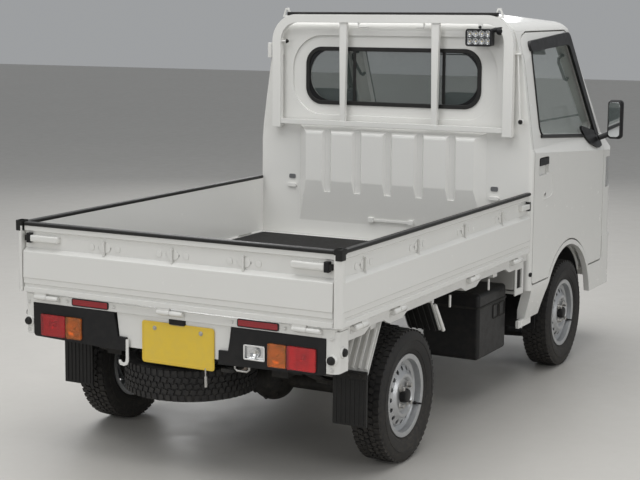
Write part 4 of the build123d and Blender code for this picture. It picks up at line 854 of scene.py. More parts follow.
# %% Number plate
PLATE_YELLOW = worn_surface("number plate yellow", (0.8, 0.56, 0.05), dust=(0.1, 0.1, 0.7),
                            gloss=(0.35, 0.45), grain=(500, 0.05), drift=0.03, edge=0.0008)
DROP_X = PANEL_X + 0.01
PLATE_X = DROP_X - 0.0045
PLATE_Y, PLATE_TOP_Z = -0.025, 0.597
PLATE_W, PLATE_H = 0.33, 0.165
SCREW_Y, SCREW_Z = 0.105, 0.572
low, high = (PLATE_Y - PLATE_W / 2, PLATE_TOP_Z - PLATE_H), (PLATE_Y + PLATE_W / 2, PLATE_TOP_Z)
plate_bm, bracket_bm, lamp_bm, lens_bm = open_meshes(4)
add_panel(plate_bm, low, high, 0.012, "X", PLATE_X, PLATE_X + 0.0012)
add_frame(plate_bm, *inset(low, high, 0.004), 0.01, 0.004, "X", PLATE_X - 0.0012, PLATE_X + 0.0008)
add_piece("rear_plate_blank", plate_bm, PLATE_YELLOW, "white_paint")
screws = [((PLATE_X - 0.001, PLATE_Y + s * SCREW_Y, SCREW_Z), BACK) for s in (1, -1)]
bolts("rear_plate_screws", screws, STEEL, across=0.013, height=0.005)

add_box(bracket_bm, (PLATE_X + 0.0015, PLATE_Y - 0.125, 0.56), (DROP_X + 0.001, PLATE_Y + 0.125, 0.584))
add_box(bracket_bm, (DROP_X - 0.003, -0.018, 0.585), (DROP_X + 0.001, -0.006, 0.618))
add_piece("plate_bracket", bracket_bm, CHASSIS_BLACK, bevel=0.001)
lamp_plan = rounded([(DROP_X + 0.012, -0.061), (DROP_X - 0.0095, -0.058),
                     (DROP_X - 0.0095, 0.013), (DROP_X + 0.012, 0.016)], 0.004)
add_plate(lamp_bm, lamp_plan, "Z", 0.594, 0.613)
add_piece("plate_lamp", lamp_bm, BLACK_PLASTIC, bevel=0.002)
add_box(lens_bm, (DROP_X - 0.008, -0.052, 0.5905), (DROP_X + 0.001, 0.007, 0.595))
add_piece("plate_lamp_lens", lens_bm, CLEAR_LENS, bevel=0.001)
print("plate:", PLATE_W, "by", PLATE_H, "m")

# %% [markdown]
# ## Rear panel fittings
# Round the lamps sit a tow loop, a bent rope hook, bolt heads, and at each corner two black
# rubber stops in white rings, one looking back and one out.

# %% Rear panel fittings
TOW_LOOP = ((-0.34, 0.474), (-0.34, 0.456), (-0.33, 0.448), (-0.288, 0.448), (-0.278, 0.456),
            (-0.278, 0.474))
ROPE_HOOK = [(0.199, 0.513), (0.199, 0.425), (0.206, 0.411), (0.222, 0.405), (0.24, 0.408), (0.246, 0.418),
             (0.246, 0.428), (0.236, 0.428), (0.232, 0.421), (0.222, 0.418), (0.214, 0.424), (0.211, 0.434),
             (0.211, 0.513)]
STOP_RING = [(0.0225, -0.01), (0.0225, 0.0025), (0.0205, 0.0055), (0.0165, 0.006), (0.0155, -0.01)]
STOP = [(0, 0.0175), (0.009, 0.017), (0.0135, 0.0145), (0.0155, 0.01), (0.016, 0.004), (0.0135, 0.0035),
        (0.0135, -0.008), (0, -0.008)]
PANEL_BOLTS = ((0.27, 0.634), (0.497, 0.634), (0.64, 0.634), (0.69, 0.615), (0.69, 0.5))
RAIL_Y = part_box("rear_panel")[1].y
loop_bm, hook_bm, stop_bm, ring_bm = open_meshes(4)
add_swept(loop_bm, [(PANEL_X + 0.01, y, z) for y, z in TOW_LOOP], 0.0045)
add_piece("tow_loop", loop_bm, STEEL)
add_plate(hook_bm, ROPE_HOOK, "X", PANEL_X - 0.004, PANEL_X + 0.001)
add_piece("rope_hook_plate", hook_bm, WHITE, bevel=0.001)
for _, sign in SIDES:
    for place, axis in (((PANEL_X + 0.002, sign * 0.69, 0.536), BACK),
                        ((-1.634, sign * RAIL_Y, 0.561), (0, sign, 0))):
        add_turned(ring_bm, STOP_RING, place, axis, sides=36)
        add_turned(stop_bm, STOP, place, axis, sides=32)
add_piece("corner_stop_rings", ring_bm, WHITE)
add_piece("corner_stops", stop_bm, RUBBER)
places = [((PANEL_X + 0.001, sign * y, z), BACK) for _, sign in SIDES for y, z in PANEL_BOLTS]
bolts("rear_panel_bolts", places, WHITE, across=0.011, height=0.004)
print("rear panel bolts:", len(places))

# %% [markdown]
# ## Gate hinges and rope hooks
# The CAD gates carry the hinge pins. Seen close, each pin runs in two thick white tubes, one
# riding on the gate and one on the body. The rope hooks stand on raised pads. Small helpers
# turn a place along a gate into the truck's frame.

# %% Gate hinges and hooks
GATE_FACE_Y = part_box("gate_left")[1].y
GATE_INNER_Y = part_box("gate_left")[0].y
GATE_HINGES_X = (-1.518, -1.18, -0.41, 0.113)
TAIL_HINGES_Y = (-0.592, 0, 0.592)
SIDE_HOOKS_X = (-1.479, -0.996, -0.513, -0.075)
TAIL_HOOKS_Y = (-0.322, -0.006, 0.311)
HINGE_Z = 0.64
HINGE_IN = 0.0108
SIDE_HINGE_SCALE = 1.25
# Half a hinge from its middle outward: (radius, along), open at the end
HINGE_TUBE = [(0.008, 0), (0.0094, 0), (0.0104, 0.001), (0.0104, 0.048), (0.0093, 0.051), (0.008, 0.051)]
# A hook's pads: shift along the gate, half width, heights
HOOK_PADS = ((0, 0.03, (0.846, 0.884)), (-0.062, 0.012, (0.852, 0.878)), (0.062, 0.012, (0.852, 0.878)))
# Each gate: hinges, hooks, depth of the recessed band
GATES = {"tailgate": (TAIL_HINGES_Y, TAIL_HOOKS_Y, 0.023),
         "gate_left": (GATE_HINGES_X, SIDE_HOOKS_X, 0.0202),
         "gate_right": (GATE_HINGES_X, SIDE_HOOKS_X, 0.0202)}


def gate_sign(gate):
    return 1 if gate == "gate_left" else -1


def gate_plate(bm, gate, along, z, depth, thick, radius=0.004):
    """Plate on a gate's outer face: along the gate, up, and its depth in from the outermost face."""
    outline = block_outline((along[0], z[0]), (along[1], z[1]), radius)
    if gate == "tailgate":
        add_plate(bm, outline, "X", TAIL_X + depth, TAIL_X + depth + thick)
    else:
        add_plate(bm, outline, "Y", *span(gate_sign(gate), GATE_FACE_Y - depth, GATE_FACE_Y - depth - thick))


def gate_pin(gate, along):
    if gate == "tailgate":
        return Vector((TAIL_X + HINGE_IN, along, HINGE_Z))
    return Vector((along, gate_sign(gate) * (GATE_FACE_Y - HINGE_IN), HINGE_Z))


for gate, (hinges, hooks, band) in GATES.items():
    fixed_bm, moving_bm, pad_bm = open_meshes(3)
    along = Vector((0, 1, 0)) if gate == "tailgate" else Vector(AHEAD)
    scale = 1.0 if gate == "tailgate" else SIDE_HINGE_SCALE
    tube = [(r * scale, a) for r, a in HINGE_TUBE]
    for at in hinges:
        for bm, way in ((fixed_bm, -1), (moving_bm, 1)):
            add_turned(bm, tube, gate_pin(gate, at) + along * way * 0.0015, along * way, sides=28)
    for at in hooks:
        for shift, half, z in HOOK_PADS:
            reach = (at + shift - half, at + shift + half)
            gate_plate(pad_bm, gate, reach, z, band - 0.0025, 0.005, half * 0.8)
    add_piece("hinge_tubes_" + gate, moving_bm, WHITE, body=gate)
    add_piece("hinge_seats_" + gate, fixed_bm, WHITE)
    add_piece("hook_pads_" + gate, pad_bm, WHITE, body=gate, bevel=0.0012)
print("gates hinged:", len(GATES))

# %% [markdown]
# ## Gate latches
# Each latch is a white lever beside a black catch: two on the tailgate, one on each side gate.
# The side gates' rear corners end in black rubber caps.

# %% Gate latches
TAIL_LEVER = [(0.529, 0.871), (0.545, 0.868), (0.64, 0.872), (0.66, 0.868), (0.664, 0.879), (0.66, 0.89),
              (0.64, 0.887), (0.545, 0.891), (0.529, 0.887)]
TAIL_CATCH_Y = (0.664, 0.684)
CORNER_CAP_LENGTH = 0.04
lever_bm, catch_bm = open_meshes(2)
for _, sign in SIDES:
    add_plate(lever_bm, [(sign * y, z) for y, z in TAIL_LEVER][::sign], "X", TAIL_X + 0.0002, TAIL_X + 0.006)
    near, far = span(sign, *TAIL_CATCH_Y)
    add_box(catch_bm, (TAIL_X + 0.0015, near, 0.86), (TAIL_X + 0.0235, far, 0.9))
add_piece("tailgate_levers", lever_bm, WHITE, body="tailgate", bevel=0.0015)
add_piece("tailgate_catches", catch_bm, BLACK_PLASTIC, body="tailgate", bevel=0.002)
for side, sign in SIDES:
    gate = "gate_" + side
    cap_bm, lever_bm, catch_bm = open_meshes(3)
    inner, outer = sign * GATE_INNER_Y, sign * GATE_FACE_Y
    cap = rounded([(TAIL_X, inner), (TAIL_X + CORNER_CAP_LENGTH, inner), (TAIL_X + CORNER_CAP_LENGTH, outer),
                   (TAIL_X, outer)], 0.006)
    add_plate(cap_bm, cap, "Z", 0.906, 0.948)
    gate_plate(lever_bm, gate, (0.158, 0.232), (0.87, 0.888), 0.0004, 0.004, 0.006)
    gate_plate(catch_bm, gate, (0.236, 0.262), (0.858, 0.9), 0.0015, 0.016, 0.004)
    add_piece("corner_cap_" + gate, cap_bm, RUBBER, body=gate, bevel=0.007)
    add_piece("lever_" + gate, lever_bm, WHITE, body=gate, bevel=0.0012)
    add_piece("catch_" + gate, catch_bm, BLACK_PLASTIC, body=gate, bevel=0.002)
print("latches:", 2 * len(SIDES))

# %% [markdown]
# ## Laying points on the CAD skin
# A rubber seal follows each window's edge on a surface that leans and curves. To lay a bead
# there, points of the outline are cast along one axis onto the CAD skin, and a bar is swept
# through the places where they land.

# %% Casting helpers
from mathutils.bvhtree import BVHTree


def skin_of(*names):
    """Search tree over the faces of some CAD pieces."""
    verts, faces = [], []
    for name in names:
        held = NODES[name]
        start = len(verts)
        verts += [held.matrix_world @ v.co for v in held.data.vertices]
        faces += [[start + i for i in p.vertices] for p in held.data.polygons]
    return BVHTree.FromPolygons(verts, faces)


def laid_on(skin, points, direction, lift=0.0):
    """Points cast along a direction onto a skin, then lifted back off it; misses are dropped."""
    direction = Vector(direction).normalized()
    hits = [skin.ray_cast(Vector(p) - direction * 0.6, direction)[0] for p in points]
    return [hit - direction * lift for hit in hits if hit is not None]


def grown(points, distance):
    """Closed flat outline moved outward by a distance."""
    count = len(points)
    area = sum(points[i - 1][0] * points[i][1] - points[i][0] * points[i - 1][1] for i in range(count))
    way = 1 if area > 0 else -1
    moved = []
    for i in range(count):
        run = (Vector(points[(i + 1) % count]) - Vector(points[i - 1])).normalized()
        moved.append((points[i][0] + run.y * distance * way, points[i][1] - run.x * distance * way))
    return moved


def finely(points, step):
    """Closed outline with extra points so that none lie further apart than a step."""
    dense = []
    for i, point in enumerate(points):
        here, there = Vector(point), Vector(points[(i + 1) % len(points)])
        parts = max(1, int((there - here).length / step))
        dense += [tuple(here.lerp(there, k / parts)) for k in range(parts)]
    return dense


# %% [markdown]
# ## Rear window seal
# The rear window lies in the flat floor of a pressed dish, so its seal is a plain ring, with
# two uprights where the sliding panes meet. The glass has a black printed edge that fills
# its corners.

# %% Rear window seal
WINDOW_LOW, WINDOW_HIGH = (-0.452, 1.334), (0.452, 1.592)
SEAL_LOW, SEAL_HIGH = (-0.464, 1.317), (0.473, 1.604)
DISH_X = 0.295
PANE_UPRIGHTS_Y = (0.204, -0.272)
BLACK_GLASS = worn_surface("printed glass edge", (0.008, 0.008, 0.009), gloss=(0.04, 0.08),
                           grain=(400, 0.005), drift=0.02, edge=0)
outer = block_outline(SEAL_LOW, SEAL_HIGH, 0.088, 16)
seal_bm, print_bm = open_meshes(2)
add_ring(seal_bm, outer, grown(outer, -0.02), "X", DISH_X - 0.007, DISH_X + 0.0018)
for y in PANE_UPRIGHTS_Y:
    add_box(seal_bm, (DISH_X - 0.004, y - 0.008, WINDOW_LOW[1] + 0.004),
            (DISH_X + 0.0016, y + 0.008, WINDOW_HIGH[1] - 0.004))
print_inner = block_outline(*inset(WINDOW_LOW, WINDOW_HIGH, 0.003), 0.119, 16)
add_ring(print_bm, grown(outer, -0.015), print_inner, "X", DISH_X - 0.0015, DISH_X + 0.0019)
add_piece("rear_window_seal", seal_bm, RUBBER, bevel=0.002)
add_piece("rear_window_print", print_bm, BLACK_GLASS, "rail_rubber")
print("rear window seal:", len(outer), "corners")

# %% [markdown]
# ## Door and windscreen seals
# These seals are cast onto the doors and the front of the cab, a little outside the glass.
# Under each door window runs a thicker bead where the glass slides into the door.

# %% Door and windscreen seals
DOOR_CORNERS = [(0.432, 1.202), (0.428, 1.608), (1.025, 1.636), (1.352, 1.14)]
SCREEN_CORNERS = [(0.62, 1.118), (0.545, 1.668), (-0.545, 1.668), (-0.62, 1.118)]
DOOR_WINDOW = finely(rounded(DOOR_CORNERS, 0.05, 8), 0.04)
SCREEN = finely(rounded(SCREEN_CORNERS, 0.06, 8), 0.05)
CAST_FROM_Y, CAST_FROM_X = 0.66, 2.0
BEAD_STEPS = 24
for side, sign in SIDES:
    skin = skin_of("door_" + side)
    inward = (0, -sign, 0)
    ring = [(x, sign * CAST_FROM_Y, z) for x, z in grown(DOOR_WINDOW, 0.005)]
    base = [(0.436 + 0.905 * i / BEAD_STEPS, sign * CAST_FROM_Y, 1.192 - 0.063 * i / BEAD_STEPS)
            for i in range(BEAD_STEPS + 1)]
    bm = bmesh.new()
    add_swept(bm, laid_on(skin, ring, inward, 0.001), 0.0055, sides=8, closed=True)
    add_swept(bm, laid_on(skin, base, inward, 0.001), 0.0085, sides=10)
    add_piece("door_window_seal_" + side, bm, RUBBER, "black_plastic", body="door_" + side)
body_skin = skin_of("cab_frame", "cab_roof", "cab_front_panel")
bm = bmesh.new()
around = [(CAST_FROM_X, y, z) for y, z in grown(SCREEN, 0.006)]
add_swept(bm, laid_on(body_skin, around, BACK, 0.001), 0.008, sides=8, closed=True)
add_piece("windscreen_seal", bm, RUBBER)
print("window seals laid")

# %% [markdown]
# ## Wipers
# Two arms rest along the foot of the windscreen. Each has a pivot cap and a blade, and both
# arm and blade are laid on the glass by the same casting.

# %% Wipers
PIVOT_Z, TIP_Z = 1.098, 1.185
WIPERS_Y = ((0.42, 0.1), (-0.05, -0.36))
BLADE_REACH = 0.24
PIVOT_CAP = [(0, 0.022), (0.012, 0.02), (0.015, 0.012), (0.015, -0.012), (0, -0.012)]
glass_skin = skin_of("windscreen", "cab_front_panel", "cab_frame")
arm_bm, blade_bm = open_meshes(2)
for pivot_y, tip_y in WIPERS_Y:
    points = [(CAST_FROM_X, pivot_y + (tip_y - pivot_y) * t, PIVOT_Z + (TIP_Z - PIVOT_Z) * t)
              for t in (0, 0.2, 0.4, 0.6, 0.8, 1.0)]
    arm = laid_on(glass_skin, points, BACK, 0.014)
    add_swept(arm_bm, arm, 0.0055, sides=8)
    add_turned(arm_bm, PIVOT_CAP, arm[0], (0.6, 0, 0.8), sides=20)
    points = [(CAST_FROM_X, tip_y + BLADE_REACH * t, TIP_Z - 0.05 * t)
              for t in (-1, -0.75, -0.5, -0.25, 0, 0.25, 0.5, 0.75, 1)]
    add_swept(blade_bm, laid_on(glass_skin, points, BACK, 0.006), 0.005, sides=6)
add_piece("wiper_arms", arm_bm, BLACK_PLASTIC)
add_piece("wiper_blades", blade_bm, RUBBER)
print("wipers laid:", len(WIPERS_Y))

# %% [markdown]
# ## Guard frame fittings
# The guard frame carries a few bolts, bent rope hooks and a tab under its top tube, a rubber
# strip along the top, and a thin white rod with small brackets beside it.

# %% Guard frame fittings
HOOP_REAR_X, HOOP_FRONT_X = 0.238, 0.268
WALL_X = 0.285
HOOK_X = HOOP_REAR_X + 0.008
hook_bm, strip_bm, bracket_bm = open_meshes(3)
for y, end_y in ((0.161, 0.112), (-0.187, -0.151)):
    way = 1 if end_y > y else -1
    bend = [(y, 1.728), (y, 1.712), (y + way * 0.002, 1.707), (y + way * 0.006, 1.7045), (end_y, 1.7045)]
    add_swept(hook_bm, [(HOOK_X, y, z) for y, z in bend], 0.0045)
add_ring(hook_bm, block_outline((-0.486, 1.696), (-0.462, 1.724), 0.004),
         block_outline((-0.479, 1.703), (-0.469, 1.713), 0.0045), "X", HOOP_REAR_X, HOOP_REAR_X + 0.006)
add_bar(hook_bm, (0.252, 0.594, 1.63), (0.252, 0.566, 1.63), 0.006)
add_piece("guard_hooks", hook_bm, WHITE, bevel=0.0006)
places = [((0.252, 0.564, 1.63), (0, -1, 0)), ((0.254, -0.676, 1.271), BACK),
          ((HOOP_REAR_X + 0.002, -0.474, 1.708), BACK)]
bolts("guard_bolts", places, CHASSIS_BLACK, across=0.016, height=0.008)
strip = block_outline((HOOP_REAR_X + 0.0005, 1.758), (HOOP_FRONT_X - 0.002, 1.776), 0.005)
add_plate(strip_bm, strip[::-1], "Y", -0.555, 0.555)
add_piece("guard_top_strip", strip_bm, RUBBER, bevel=0.001)

add_bar(bracket_bm, (0.262, -0.67, 1.284), (0.262, -0.654, 1.59), 0.004)
for low, high in (((0.256, -0.69, 1.258), (0.262, -0.662, 1.284)),
                  ((0.256, -0.668, 1.582), (WALL_X + 0.001, -0.64, 1.59)),
                  ((0.258, 0.655, 1.546), (WALL_X + 0.001, 0.676, 1.556)),
                  ((0.258, 0.655, 1.61), (WALL_X + 0.001, 0.676, 1.62)),
                  ((0.256, 0.655, 1.546), (0.26, 0.676, 1.62))):
    add_box(bracket_bm, low, high)
add_piece("cab_back_brackets", bracket_bm, WHITE, bevel=0.001)
print("guard frame fitted")

# %% [markdown]
# ## Back wall of the cab
# The pressed wall behind the guard frame has two grey pads over white grips, and a white tie
# bar low down. They are cast onto the wall, so they sit on its ribs.

# %% Back wall of the cab
PAD_Y = 0.545
TIE_BAR_Y = (0.095, -0.013, -0.121)
back_skin = skin_of("cab_back_panel")
pad_bm, grip_bm, tie_bm = open_meshes(3)
for y in (PAD_Y, -PAD_Y):
    at = laid_on(back_skin, [(0.2, y, 0.946)], AHEAD)[0]
    add_panel(pad_bm, (y - 0.018, 0.935), (y + 0.018, 0.957), 0.007, "X", at.x - 0.004, at.x + 0.004)
    add_panel(grip_bm, (y - 0.026, 0.892), (y + 0.026, 0.91), 0.008, "X", at.x - 0.01, at.x + 0.004)
add_piece("cab_back_pads", pad_bm, GREY_PLASTIC, bevel=0.002)
add_piece("cab_back_grips", grip_bm, WHITE, bevel=0.003)
ends_and_middle = laid_on(back_skin, [(0.2, y, 0.752) for y in TIE_BAR_Y], AHEAD)
for at in ends_and_middle[::2]:
    add_box(tie_bm, (at.x - 0.014, at.y - 0.014, 0.741), (at.x + 0.002, at.y + 0.014, 0.764))
middle = ends_and_middle[1]
add_box(tie_bm, (middle.x - 0.009, -0.118, 0.746), (middle.x - 0.005, 0.092, 0.759))
add_piece("cab_back_tie_bar", tie_bm, WHITE, bevel=0.001)
print("cab back dressed")

# %% [markdown]
# ## Work lamp
# The lamp on the guard frame is a black box whose face holds a small grid of bright turned
# cups behind a clear pane, one yellowish light chip in each, and fins run down the back.

# %% Work lamp
LAMP_LOW, LAMP_HIGH = (-0.541, 1.622), (-0.417, 1.698)
CUP_ROWS, CUP_COLUMNS = 2, 4
FIN_COUNT, FIN_PITCH = 9, 0.012
CUP = [(0.0138, 0.0052), (0.0118, 0.0025), (0.007, 0.0008), (0.0028, 0.0002), (0.0028, -0.0002),
       (0.0146, -0.0002), (0.0146, 0.0052)]
LAMP_PANE = clear_pane("lamp pane", (0.4, 0.42, 0.43), 0.88, 0.02)
low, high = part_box("work_lamp")
cup_bm, chip_bm, frame_bm, fin_bm, pane_bm = open_meshes(5)
for row in range(CUP_ROWS):
    for column in range(CUP_COLUMNS):
        y = LAMP_LOW[0] + 0.0165 + column * 0.0303
        z = LAMP_LOW[1] + 0.0205 + row * 0.035
        add_turned(cup_bm, CUP, (low.x, y, z), BACK, sides=20)
        add_box(chip_bm, (low.x - 0.0018, y - 0.002, z - 0.002), (low.x - 0.0001, y + 0.002, z + 0.002))
add_frame(frame_bm, *inset(LAMP_LOW, LAMP_HIGH, -0.003), 0.014, 0.009, "X", low.x - 0.008, low.x + 0.01)
add_ball(frame_bm, Matrix.Translation((0.248, -0.568, 1.69)), 0.019, 24, 14)
add_panel(pane_bm, *inset(LAMP_LOW, LAMP_HIGH, 0.005), 0.006, "X", low.x - 0.0068, low.x - 0.0056)
for i in range(FIN_COUNT):
    y = LAMP_LOW[0] + 0.014 + i * FIN_PITCH
    add_box(fin_bm, (high.x - 0.003, y - 0.0016, 1.632), (high.x, y + 0.0016, 1.69))
add_piece("work_lamp_pane", pane_bm, LAMP_PANE, "clear_lens")
add_piece("work_lamp_cups", cup_bm, LAMP_SILVER, "black_plastic")
add_piece("work_lamp_chips", chip_bm, PLATE_YELLOW, "clear_lens")
add_piece("work_lamp_rim", frame_bm, BLACK_PLASTIC, bevel=0.0012)
add_piece("work_lamp_fins", fin_bm, BLACK_PLASTIC)
print("work lamp cups:", CUP_ROWS * CUP_COLUMNS)

# %% [markdown]
# ## Ribbed mat with Geometry Nodes
# The rubber mat is ribbed along the truck. One rib, a long low box with softened edges, is
# set on every point of a line across the bed, so pitch and length stay plain numbers.

# %% Mat ribs
RIB_PITCH = 0.012
EDGE_MARGIN = 0.01


def ribs_tree(name, material):
    tree, sizes = start_tree(name, {
        "Count": ("Int", 10), "Start": ("Vector", None), "Step": ("Vector", None), "Rib": ("Vector", None)})
    line = add_geo(tree, "MeshLine", {"Count": sizes["Count"], "Start Location": sizes["Start"],
                                      "Offset": sizes["Step"]})
    rib = add_geo(tree, "MeshCube", {"Size": sizes["Rib"]})
    end_tree(tree, add_geo(tree, "InstanceOnPoints", {"Points": line, "Instance": rib}), material)
    return tree


low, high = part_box("bed_mat")
count = int((high.y - low.y - EDGE_MARGIN) / RIB_PITCH)
sizes = {"Count": count, "Start": ((low.x + high.x) / 2, low.y + EDGE_MARGIN, high.z + 0.0006),
         "Step": (0, RIB_PITCH, 0), "Rib": (high.x - low.x - 0.006, 0.0048, 0.003)}
grow("mat_ribs", ribs_tree("mat ribs", MAT_RUBBER), sizes, MAT_RUBBER, bevel=0.001)
print("mat ribs:", count)

# %% [markdown]
# ## Seat pads by cloth simulation
# Foam under a sewn cover swells between its seams, and a cloth simulation with a little inner
# pressure gives just that. Each pad starts slightly smaller than the CAD seat, is remeshed
# into an even net, and is held along its seams and where it rests. The pressure then lifts
# the panels between.

# %% Pad helpers
PAD_VOXEL = 0.006
PAD_REACH = 0.022
PAD_PRESSURE = 4.0
PAD_FRAMES = 20


def add_pad(bm, outline, y_span, radius, steps=5):
    """Side outline run across, with both ends rounded over."""
    angles = [k * pi / 2 / steps for k in range(steps + 1)]
    rings = []
    for y, inward, turns in ((y_span[0], 1, angles), (y_span[1], -1, angles[::-1])):
        for a in turns:
            ring = grown(outline, -radius * (1 - sin(a)))
            rings.append(loop_at(bm, ring, "Y", y + inward * radius * (1 - cos(a))))
    for one, two in zip(rings, rings[1:]):
        bridge(bm, one, two)
    bm.faces.new(rings[0])
    bm.faces.new(rings[-1])


def kept(holder):
    """Plain mesh of an object as its modifiers leave it; the object itself goes."""
    evaluated = holder.evaluated_get(bpy.context.evaluated_depsgraph_get())
    mesh = bpy.data.meshes.new_from_object(evaluated)
    bpy.data.objects.remove(holder)
    return mesh


def even_net(bm):
    bmesh.ops.recalc_face_normals(bm, faces=bm.faces)
    mesh = bpy.data.meshes.new("pad start")
    bm.to_mesh(mesh)
    bm.free()
    holder = bpy.data.objects.new("pad start", mesh)
    bpy.context.collection.objects.link(holder)
    remesh = holder.modifiers.new("net", "REMESH")
    remesh.mode = "VOXEL"
    remesh.voxel_size = PAD_VOXEL
    return kept(holder)


def swollen(net, held):
    """The net after its pressure has settled; no point moves further than PAD_REACH."""
    holder = bpy.data.objects.new("pad cloth", net.copy())
    bpy.context.collection.objects.link(holder)
    holder.vertex_groups.new(name="held").add(held, 1.0, "REPLACE")
    cloth = holder.modifiers.new("cloth", "CLOTH")
    cloth.settings.vertex_group_mass = "held"
    cloth.settings.use_pressure = True
    cloth.settings.uniform_pressure_force = PAD_PRESSURE
    cloth.settings.effector_weights.gravity = 0.0
    cloth.collision_settings.use_collision = False
    cloth.point_cache.frame_end = PAD_FRAMES
    for step in range(1, PAD_FRAMES + 1):
        bpy.context.scene.frame_set(step)
    shaped = kept(holder)
    bpy.context.scene.frame_set(1)
    for vertex, start in zip(shaped.vertices, net.vertices):
        moved = vertex.co - start.co
        vertex.co = start.co + moved * min(1.0, PAD_REACH / max(moved.length, 1e-9))
    return shaped


# %% [markdown]
# ## Seams
# A seam function tells how far a point of a pad lies from the nearest seam. Where a pad rests
# the distance is nought, so those points are held as well. On cushion and backrest two long
# seams part the bolsters from the middle panel, and three cross seams run between them.

# %% Seams
SEAT_MIDDLE = 0.36
CUSHION_SEAM_Y, CUSHION_SEAMS_X, CUSHION_EDGE_Z = 0.152, (0.6, 0.7, 0.8), 0.712
BACK_SEAM_Y, BACK_SEAMS_Z, BACK_EDGE_IN = 0.15, (0.88, 0.99, 1.1), 0.022
HEADREST_SEAM_X = 0.385
FACING = 0.5


def panel_seam(across, along, seam_y, cross_seams):
    """Distance to the long seams, and between them also to the cross seams."""
    crossing = [abs(along - at) for at in cross_seams] if across < seam_y else []
    return min([abs(across - seam_y)] + crossing)


def cushion_seam(p, n):
    if n.z > FACING:
        return panel_seam(abs(p.y - SEAT_MIDDLE), p.x, CUSHION_SEAM_Y, CUSHION_SEAMS_X)
    return abs(p.z - CUSHION_EDGE_Z) if n.z > -FACING else 0.0


def backrest_front_x(z):
    """Front face of the leaning backrest at a height."""
    return 0.486 - 0.066 * (z - 0.74) / 0.48


def back_seam(p, n):
    if n.x > FACING:
        return panel_seam(abs(p.y - SEAT_MIDDLE), p.z, BACK_SEAM_Y, BACK_SEAMS_Z)
    return abs(p.x - backrest_front_x(p.z) + BACK_EDGE_IN) if n.x > -FACING else 0.0


def headrest_seam(p, n):
    return abs(p.x - HEADREST_SEAM_X) if abs(n.x) < 0.6 else 1.0


# %% [markdown]
# ## Seat pads
# Each pad is simulated once, for the left seat, and mirrored for the right. The seams are
# drawn in after the swelling, deepest on the line and fading out beside it.

# %% Seat pads
SEAM_DEEP = 0.006
SEAM_WIDE = 0.006
HELD_WITHIN = 0.004
PAD_END_RADIUS = 0.022
SEAT_Y = (0.13, 0.59)
# Each pad: side outline, radius of its corners, its y from the middle, seam function
PADS = {
    "cushion": ([(0.445, 0.662), (0.893, 0.67), (0.902, 0.734), (0.505, 0.726)], 0.028, SEAT_Y,
                cushion_seam),
    "backrest": ([(0.396, 0.706), (0.486, 0.74), (0.42, 1.214), (0.356, 1.222)], 0.026, SEAT_Y, back_seam),
    "headrest": ([(0.353, 1.268), (0.417, 1.268), (0.414, 1.394), (0.356, 1.394)], 0.026, (0.238, 0.482),
                 headrest_seam),
}
for name, (corners, radius, y_span, seam) in PADS.items():
    bm = bmesh.new()
    add_pad(bm, rounded(corners, radius, 6), y_span, PAD_END_RADIUS)
    net = even_net(bm)
    distances = [seam(v.co, v.normal) for v in net.vertices]
    held = [i for i, d in enumerate(distances) if d < HELD_WITHIN]
    shaped = swollen(net, held)
    moves = [v.normal * -SEAM_DEEP * exp(-(d / SEAM_WIDE) ** 2) if d > 0 else Vector()
             for v, d in zip(shaped.vertices, distances)]
    for vertex, move in zip(shaped.vertices, moves):
        vertex.co += move
    other = shaped.copy()
    other.transform(Matrix.Diagonal((1, -1, 1, 1)))
    other.flip_normals()
    for side, mesh in (("left", shaped), ("right", other)):
        piece = place_piece(f"seat_{name}_{side}", mesh, SEAT_CLOTH, sharp=180, replaces=["seats"])
        smooth = piece.modifiers.new("even surface", "SUBSURF")
        smooth.levels = smooth.render_levels = 1
    print(name, "net points:", len(net.vertices), "held:", len(held))

# %% [markdown]
# ## Seat frames
# Under the pads stands a steel frame on two runners, with a recliner plate and lever at each
# side, and the headrest stands on two bright rods with black collars.

# %% Seat frames
PLATE_CORNERS = [(0.415, 0.668), (0.54, 0.668), (0.5, 0.74), (0.45, 0.83), (0.41, 0.82)]
LEVER_CORNERS = [(0.47, 0.676), (0.6, 0.69), (0.602, 0.706), (0.5, 0.704), (0.464, 0.7)]
RECLINER_PLATE, RECLINER_LEVER = rounded(PLATE_CORNERS, 0.012), rounded(LEVER_CORNERS, 0.006)
ROD_COLLAR = [(0.0062, 0), (0.014, 0), (0.013, 0.009), (0.0062, 0.01)]
RUNNERS_Y = (0.2, 0.52)
RECLINERS_Y = (0.1235, 0.5965)
RODS_Y = (0.31, 0.41)
frame_bm, rod_bm, belt_bm, buckle_bm, button_bm = open_meshes(5)


def add_seat_frame(sign):
    for y in RUNNERS_Y:
        near, far = span(sign, y - 0.016, y + 0.016)
        add_box(frame_bm, (0.5, near, 0.6005), (0.86, far, 0.62))
        add_box(frame_bm, (0.52, near + 0.006, 0.618), (0.84, far - 0.006, 0.65))
    near, far = span(sign, 0.15, 0.57)
    add_box(frame_bm, (0.47, near, 0.646), (0.88, far, 0.664))
    add_bar(frame_bm, (0.87, near, 0.64), (0.87, far, 0.64), 0.011)
    for y in RECLINERS_Y:
        add_plate(frame_bm, RECLINER_PLATE, "Y", sign * y - 0.003, sign * y + 0.003)
    add_plate(frame_bm, RECLINER_LEVER, "Y", *span(sign, 0.59, 0.6065))
    for y in RODS_Y:
        add_bar(rod_bm, (0.385, sign * y, 1.205), (0.385, sign * y, 1.3), 0.006)
        add_turned(buckle_bm, ROD_COLLAR, (0.385, sign * y, 1.226), UP, sides=24)


# %% [markdown]
# ## Seat belts
# The belts are flat webbing, modelled directly as bent ribbons. Each runs from its reel up the
# rear pillar to a guide and back down to the floor, and the buckle stands on a short stalk.

